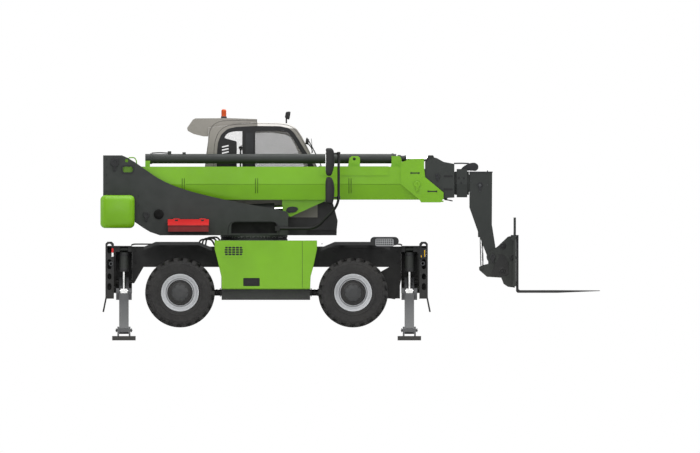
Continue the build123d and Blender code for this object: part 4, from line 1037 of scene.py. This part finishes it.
def make_mirrors():
    """Two moulded mirror housings on their tube, with the glass on their rear faces."""
    shape = Shape()
    shape.pipe([(-1.073, -0.51, 1.656), (-0.505, -0.62, 1.656), (-0.231, -0.85, 1.933), (-0.168, MIRROR_Y, 2.06),
                (-0.168, MIRROR_Y, 2.79)], 0.019, 0.13, 20)
    shape.box((-1.11, -0.54, 1.62), (-1.04, -0.4803, 1.69))
    side = [(0.122, 0.72), (0.116, 0.88), (0.1, 0.97), (0.07, 1)]
    stations = [(-y, share) for y, share in side] + side[::-1]
    for outline, row in ((UPPER_MIRROR, 153.5), (LOWER_MIRROR, 197.7)):
        points = loop(outline, 0.03)
        middle_x, middle_z = (sum(values) / len(points) for values in zip(*points))
        shape.hull([
            [(middle_x + (x - middle_x) * share, MIRROR_Y + y, middle_z + (z - middle_z) * share) for x, z in points]
            for y, share in stations])
        z = at(0, row, 0).z
        shape.rod((-0.3, MIRROR_Y, z), (-0.166, MIRROR_Y, z), 0.013)
        clamp = [(0, 0.0245), (0.003, 0.026), (0.041, 0.026), (0.044, 0.0245)]
        shape.turned((-0.168, MIRROR_Y, z - 0.022), Z, clamp, 24)
    made = shape.piece("mirror_housings", "turret", "black_plastic", 0.0, 50)
    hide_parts("mirrors")
    glasses = Shape()
    for low, high in ((2.5, 2.8), (2.055, 2.35)):
        glasses.hull([
            [(x, MIRROR_Y + across, (low + high) / 2 + up)
             for across, up in squarish(0.09 - shrink, (high - low) / 2 - shrink, 5, 28)]
            for x, shrink in ((-0.3625, 0.004), (-0.3615, 0), (-0.352, 0))])
    glasses.piece("mirror_glasses", "turret", "mirror_glass", smooth=40)


# Boom: outlines in the photograph of its small parts
LIFT_PIN_PLATE = [
    (285.8, 211), (287.4, 207.4), (292, 206.4), (297, 207.2), (298.6, 209.2), (295, 212.4), (288.4, 212.9),
]
TAIL_LUG = [(121.6, 166), (122.4, 158.8), (126, 157), (129.4, 158.4), (131, 161.6), (131, 166)]
TAIL_HANDLE = [(127.6, 160), (129, 157.6), (134.4, 157.6), (136.4, 160.4), (136.6, 165)]
TELESCOPE_BRACKET = [(390.6, 168), (392.6, 158), (395, 156), (399.6, 156), (401.4, 158.4), (402.4, 168)]
HEAD_SCREWS = [(411.2, 173.05), (418.8, 173.05), (428.4, 191.4), (436.4, 191.4)]


def make_boom():
    """Weld beads, a plate, wear pad screws, pin keepers and slots."""
    # The beads take a darker green: painted shade along the seams and creases
    beads = Shape()
    for column in (183.3, 256.6, 350):
        for shift in (-1.1, 1.1):
            crease = at(column + shift, 184.2, BOOM_FACE)
            beads.rod(crease + Z * 0.088, crease, 0.006, 10)
            beads.rod(crease, at(column + shift, 193.2, BOOM_FACE + 0.0255), 0.006, 10)
    beads.rod(at(186, 184.2, BOOM_FACE), at(403, 184.2, BOOM_FACE), 0.0022, 8)
    beads.rod(at(334, 174.6, BOOM_FACE), at(388.5, 174.6, BOOM_FACE), 0.004, 8)
    beads.piece("boom_weld_beads", "boom_base", "green_painted_shade", smooth=60)
    outline = loop([(334, 174.4), (334, 167.4), (388.4, 167.4), (388.4, 174.4)])
    plate = Shape().prism(outline, BOOM_FACE - 0.005, BOOM_FACE - 0.0002)
    plate.piece("boom_top_plate_right", "boom_base", "green_paint", 0.002)
    left_face = 2 * BOOM_MIDDLE - HEAD_FACE
    bolts("boom_head_screws", "boom_base", line(HEAD_FACE, HEAD_SCREWS), RIGHT, 0.0125, "black_paint_and_painted_shade")
    bolts("boom_head_screws_left", "boom_base", line(left_face, HEAD_SCREWS), LEFT, 0.0125, "black_paint_and_painted_shade")
    screws = line(SECTION_3_FACE, [(458.8, 178), (463.8, 178), (461.2, 182.8)])
    screws += line(SECTION_3_FACE + 0.03, [(458.8, 188.4), (463.8, 188.4)])
    bolts("section_3_screws", "boom_3", screws, RIGHT, 0.014, "black_paint_and_painted_shade")
    hub = Shape()
    keeper_pair(hub, 417.2, 184.3, (-0.44, 0.04), 0.046, 0.1)
    hub.piece("boom_head_keepers", "boom_base", "green_paint", 0.0015, 30)
    hub = Shape()
    keeper_pair(hub, 437.6, 176.1, (-0.405, 0.005), 0.036, 0.07)
    hub.piece("section_2_keepers", "boom_2", "dark_steel", 0.0015, 30)
    plate = Shape()
    for side in (-1, 1):
        face = BOOM_MIDDLE + side * 0.104
        plate.prism(loop(LIFT_PIN_PLATE, 0.03), BOOM_MIDDLE + side * 0.0945, face)
        for column in (290, 296):
            plate.bolt(at(column, 211, face), Y * side, 0.009)
    plate.piece("lift_pin_plate", "boom_base", "dark_steel", 0.002)
    for name, body, distance, places, half, bend in (
        ("boom_head_slots", "boom_base", 0.228, ((410.2, 419.8, 173.05), (427.4, 437.4, 191.4)), 0.55, 0.008),
        ("section_2_slots", "boom_2", 0.193, ((443.7, 452.7, 176.3), (443.7, 452.7, 189.4)), 1, 0.0145),
    ):
        slots = Shape()
        for side in (-1, 1):
            face = BOOM_MIDDLE + side * distance
            for left, right, row in places:
                slots.prism(stadium(left, right, row + half, row - half, bend), face, face + side * 0.0012)
        slots.piece(name, body, "black_plastic")


def make_boom_fittings():
    """The tail's lug, the telescope cylinder's bracket, gland and pipes, and the small pipes at the sections."""
    tail = Shape().prism(loop(TAIL_LUG, 0.02), -0.33, -0.3)
    tail.pipe(line(-0.315, TAIL_HANDLE), 0.0085, 0.02)
    tail.piece("boom_tail_lug", "boom_base", "green_paint", 0.002, 40)
    bracket = Shape()
    for y0, y1 in ((-0.3, -0.275), (-0.125, -0.1)):
        bracket.prism(loop(TELESCOPE_BRACKET, 0.02), y0, y1)
    bracket.piece("telescope_bracket", "boom_base", "green_paint", 0.002)
    gland = Shape()
    gland.turned(at(397.4, 158.7, BOOM_MIDDLE), X, [(0, 0.05), (0.01, 0.056), (0.05, 0.056), (0.056, 0.044),
                 (0.1, 0.044), (0.106, 0.05), (0.128, 0.05), (0.132, 0.044)], 40)
    gland.piece("telescope_gland", "boom_base", "dark_paint", 0.001, 40)
    pipes = Shape()
    pipes.pipe(line(BOOM_MIDDLE, [(151.6, 153.1), (160, 152.6), (168, 153.1)]), 0.009, 0.05)
    pipes.box(at(167.7, 157.5, -0.225), at(171.3, 151.2, -0.175))
    pipes.rod((-2.5, -0.128, 2.73), (0.6, -0.128, 2.73), 0.0085, 16)
    for i in range(8):
        x = -2.4 + 0.41 * i
        pipes.box((x, -0.14, 2.715), (x + 0.03, -0.1, 2.745))
    for x in (-2.96, 0.615):
        pipes.turned((x, BOOM_MIDDLE, 2.689), X, [(0, 0.079), (0.03, 0.079), (0.034, 0.073)], 40)
    pipes.piece("telescope_pipes", "boom_base", "dark_paint", 0.0015, 40)
    steel = Shape()
    for z in (2.5, 2.455):
        steel.rod((-3.0, 0.024, z), (0.7, 0.024, z), 0.011, 16)
    for i in range(7):
        x = -2.9 + 0.55 * i
        steel.box((x, 0.008, 2.43), (x + 0.04, 0.04, 2.525))
    steel.piece("boom_side_pipes", "boom_base", "dark_paint", 0.0015, 40)
    pipe = Shape().pipe(line(BOOM_MIDDLE, [(454, 163.4), (462, 163.2), (469, 163.6)]), 0.011, 0.03)
    pipe.piece("section_3_pipe", "boom_3", "bolt_steel", 0.001, 40)
    hook = Shape().pipe(line(-0.26, [(443.8, 197.6), (444.6, 199.6), (448.4, 200), (452.6, 201)]), 0.009, 0.03)
    hook.box(at(443, 199.2, -0.28), at(447.4, 197.4, -0.24))
    hook.piece("section_2_hook", "boom_2", "dark_steel", smooth=60)


NOSE_PIN = (1.924, 2.298)
NOSE_FINGER = [
    (459.5, 171), (463, 166.6), (469, 163.3), (474.6, 162.4), (478.2, 164.6), (478.6, 168.4), (476, 171.2),
    (470, 170.4), (464, 171.4),
]
CARRIAGE_PLATE = [(497.4, 254), (503.6, 254.4), (508.4, 262), (508.4, 275), (500, 276.4), (490, 275.6), (494, 266)]


def make_nose():
    """Pin caps, screws, the finger on top, and the tilt cylinder's hoses."""
    screws, fittings, hoses = Shape(), Shape(), Shape()
    for side in (-1, 1):
        pin = Vector((NOSE_PIN[0], BOOM_MIDDLE + side * 0.144, NOSE_PIN[1]))
        screws.turned(pin, Y * side, [(0, 0.024), (0.004, 0.022)], 32)
        for place in line(BOOM_MIDDLE + side * 0.138, [(480, 188), (480, 191.2)]):
            screws.bolt(place, Y * side, 0.008)
        face = BOOM_MIDDLE + side * 0.13
        for place in line(face, [(471, 170.5), (471, 181), (471, 192), (487.5, 171), (487.5, 185)]):
            screws.bolt(place, Y * side, 0.009)
        fittings.panel(circle(NOSE_PIN, 0.045, 32), [circle(NOSE_PIN, 0.031, 32)], face, face + side * 0.006)
        fittings.prism([(1.9, 2.262), (1.948, 2.262), (1.936, 2.205), (1.912, 2.205)], face, face + side * 0.005)
        y = BOOM_MIDDLE + side * 0.075
        hoses.pipe([(2.0, y, 2.44), (2.03, y, 2.2), (2.035, y, 1.8), (2.02, y, 1.62), (1.985, y, 1.56)],
                   0.011, 0.15)
    screws.piece("nose_screws", "boom_4", "bolt_steel", 0.0008, 30)
    fittings.prism(loop(NOSE_FINGER, 0.03), -0.265, -0.135)
    fittings.prism(loop([(469.2, 172.8), (469.2, 171.5), (492.6, 171.5), (492.6, 172.8)]), -0.336, -0.064)
    fittings.piece("nose_fittings", "boom_4", "dark_steel", 0.003, 40)
    hoses.piece("tilt_hoses", "boom_4", "black_rubber", smooth=60)


def make_carriage():
    """Pin keepers, bosses and plates on the carriage's cheeks, and the forks' locks."""
    screws, plates, locks = Shape(), Shape(), Shape()
    for side in (-1, 1):
        keeper(screws, Vector((2.11, BOOM_MIDDLE + side * 0.2085, 1.236)), Y * side, 0.045, 0.085)
        for x, z in ((2.26, 1.396), (2.4, 1.218), (2.253, 1.027)):
            screws.bolt(Vector((x, BOOM_MIDDLE + side * 0.18, z)), Y * side, 0.018)
        face = BOOM_MIDDLE + side * 0.166
        for x, z in ((2.26, 1.396), (2.41, 1.228), (2.256, 1.03)):
            plates.turned(Vector((x, face, z)), Y * side, [(0, 0.05), (0.008, 0.05), (0.011, 0.046), (0.011, 0.03),
                                                           (0.008, 0.028), (0.008, 0.001)], 40)
        plates.prism(loop(CARRIAGE_PLATE, 0.03), face, face + side * 0.007)
        y = BOOM_MIDDLE + side * 0.38
        locks.rod((2.43, y, 1.561), (2.43, y, 1.6), 0.011, 20)
        locks.pipe([(2.43, y - 0.035, 1.585), (2.43, y - 0.03, 1.598), (2.43, y + 0.03, 1.598),
                    (2.43, y + 0.035, 1.585)], 0.006, 0.012)
    for y in (-0.62, -0.58, 0.18, 0.22):
        locks.bolt(Vector((2.395, y, 1.51)), -X, 0.011)
    screws.piece("carriage_keepers", "carriage", "dark_steel", 0.001, 30)
    plates.piece("carriage_plates", "carriage", "black_paint_and_painted_shade", 0.003, 40)
    locks.piece("fork_locks", "carriage", "bolt_steel", 0.0005, 40)


# Outriggers: each leg cylinder's radius, the rim of its bands, and the pins of the foot and the rod
CYLINDER_RADIUS = 0.0685
BAND_RIM = 0.005
FOOT_PIN = (1.85, 0.15)
ROD_PIN = (0.8, 0.732)


def make_outrigger(corner):
    """The bands, ports and hard pipe of the leg's cylinder, and the caps on its pins."""
    low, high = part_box("leg_barrel_" + corner)
    x, middle_y, _ = (low + high) / 2
    side = 1 if corner.endswith("left") else -1
    fittings = Shape()
    for z, length, radius in ((low.z + 0.001, 0.056, 0.0735), (1.25, 0.04, 0.0715)):
        edge = radius - BAND_RIM / 2
        band = [(0, CYLINDER_RADIUS), (0, edge), (BAND_RIM, radius), (length - BAND_RIM, radius), (length, edge),
                (length, CYLINDER_RADIUS)]
        fittings.turned(Vector((x, middle_y, z)), Z, band, 40, False)
    y = middle_y - side * 0.066
    fittings.box((x - 0.018, y, 1.05), (x + 0.018, y - side * 0.025, 1.085))
    fittings.rod((x, y - side * 0.018, 1.08), (x, y - side * 0.018, 1.27), 0.007, 12)
    fittings.box((x - 0.018, y, 1.252), (x + 0.018, y - side * 0.025, 1.285))
    fittings.piece("leg_cylinder_fittings_" + corner, "leg_barrel_" + corner, "dark_steel", 0.001, 40)
    foot, rod = Shape(), Shape()
    for direction in (-1, 1):
        outwards = X * direction
        pin = Vector((x, side * FOOT_PIN[0], FOOT_PIN[1]))
        foot.turned(pin + outwards * 0.11, outwards, [(0, 0.03), (0.008, 0.03), (0.01, 0.026)], 32)
        foot.bolt(pin + outwards * 0.12, outwards, 0.008)
        pin = Vector((x, side * ROD_PIN[0], ROD_PIN[1]))
        rod.turned(pin + outwards * 0.056, outwards, [(0, 0.02), (0.003, 0.018)], 24)
    foot.piece("foot_pin_caps_" + corner, "leg_" + corner, "bolt_steel", 0.0008, 40)
    rod.piece("rod_pin_caps_" + corner, "leg_rod_" + corner, "bolt_steel", 0.0008, 40)


def make_outrigger_pins():
    """Caps on the pins of the legs and of their cylinders, on the outer face of each outrigger frame."""
    pivots = Shape()
    for face, outwards in ((-3.491, -X), (1.021, X)):
        for side in (-1, 1):
            for y, z, radius in ((side * 0.56, 0.872, 0.05), (side * 0.8, 1.352, 0.032)):
                centre = Vector((face, y, z))
                pivots.turned(centre, outwards, [(0, radius), (0.008, radius), (0.011, radius - 0.004)], 32)
                pivots.bolt(centre + outwards * 0.011, outwards, 0.01)
    pivots.piece("outrigger_pin_caps", "chassis", "bolt_steel", 0.001, 40)


make_camera()
make_light()
make_floor()
finish_frame()
for corner in CORNERS:
    make_tyre(corner)
    make_wheel_nuts(corner)
make_cover()
make_chassis_hoses()
make_chassis()
make_joints()
make_lamps()
make_turret()
make_counterweight()
make_cab_frames()
make_cab_fittings()
make_roof()
make_mirrors()
make_boom()
make_boom_fittings()
make_nose()
make_carriage()
for corner in (*CORNERS[2:], *CORNERS[:2]):
    make_outrigger(corner)
make_outrigger_pins()

scene.view_settings.view_transform = "Standard"
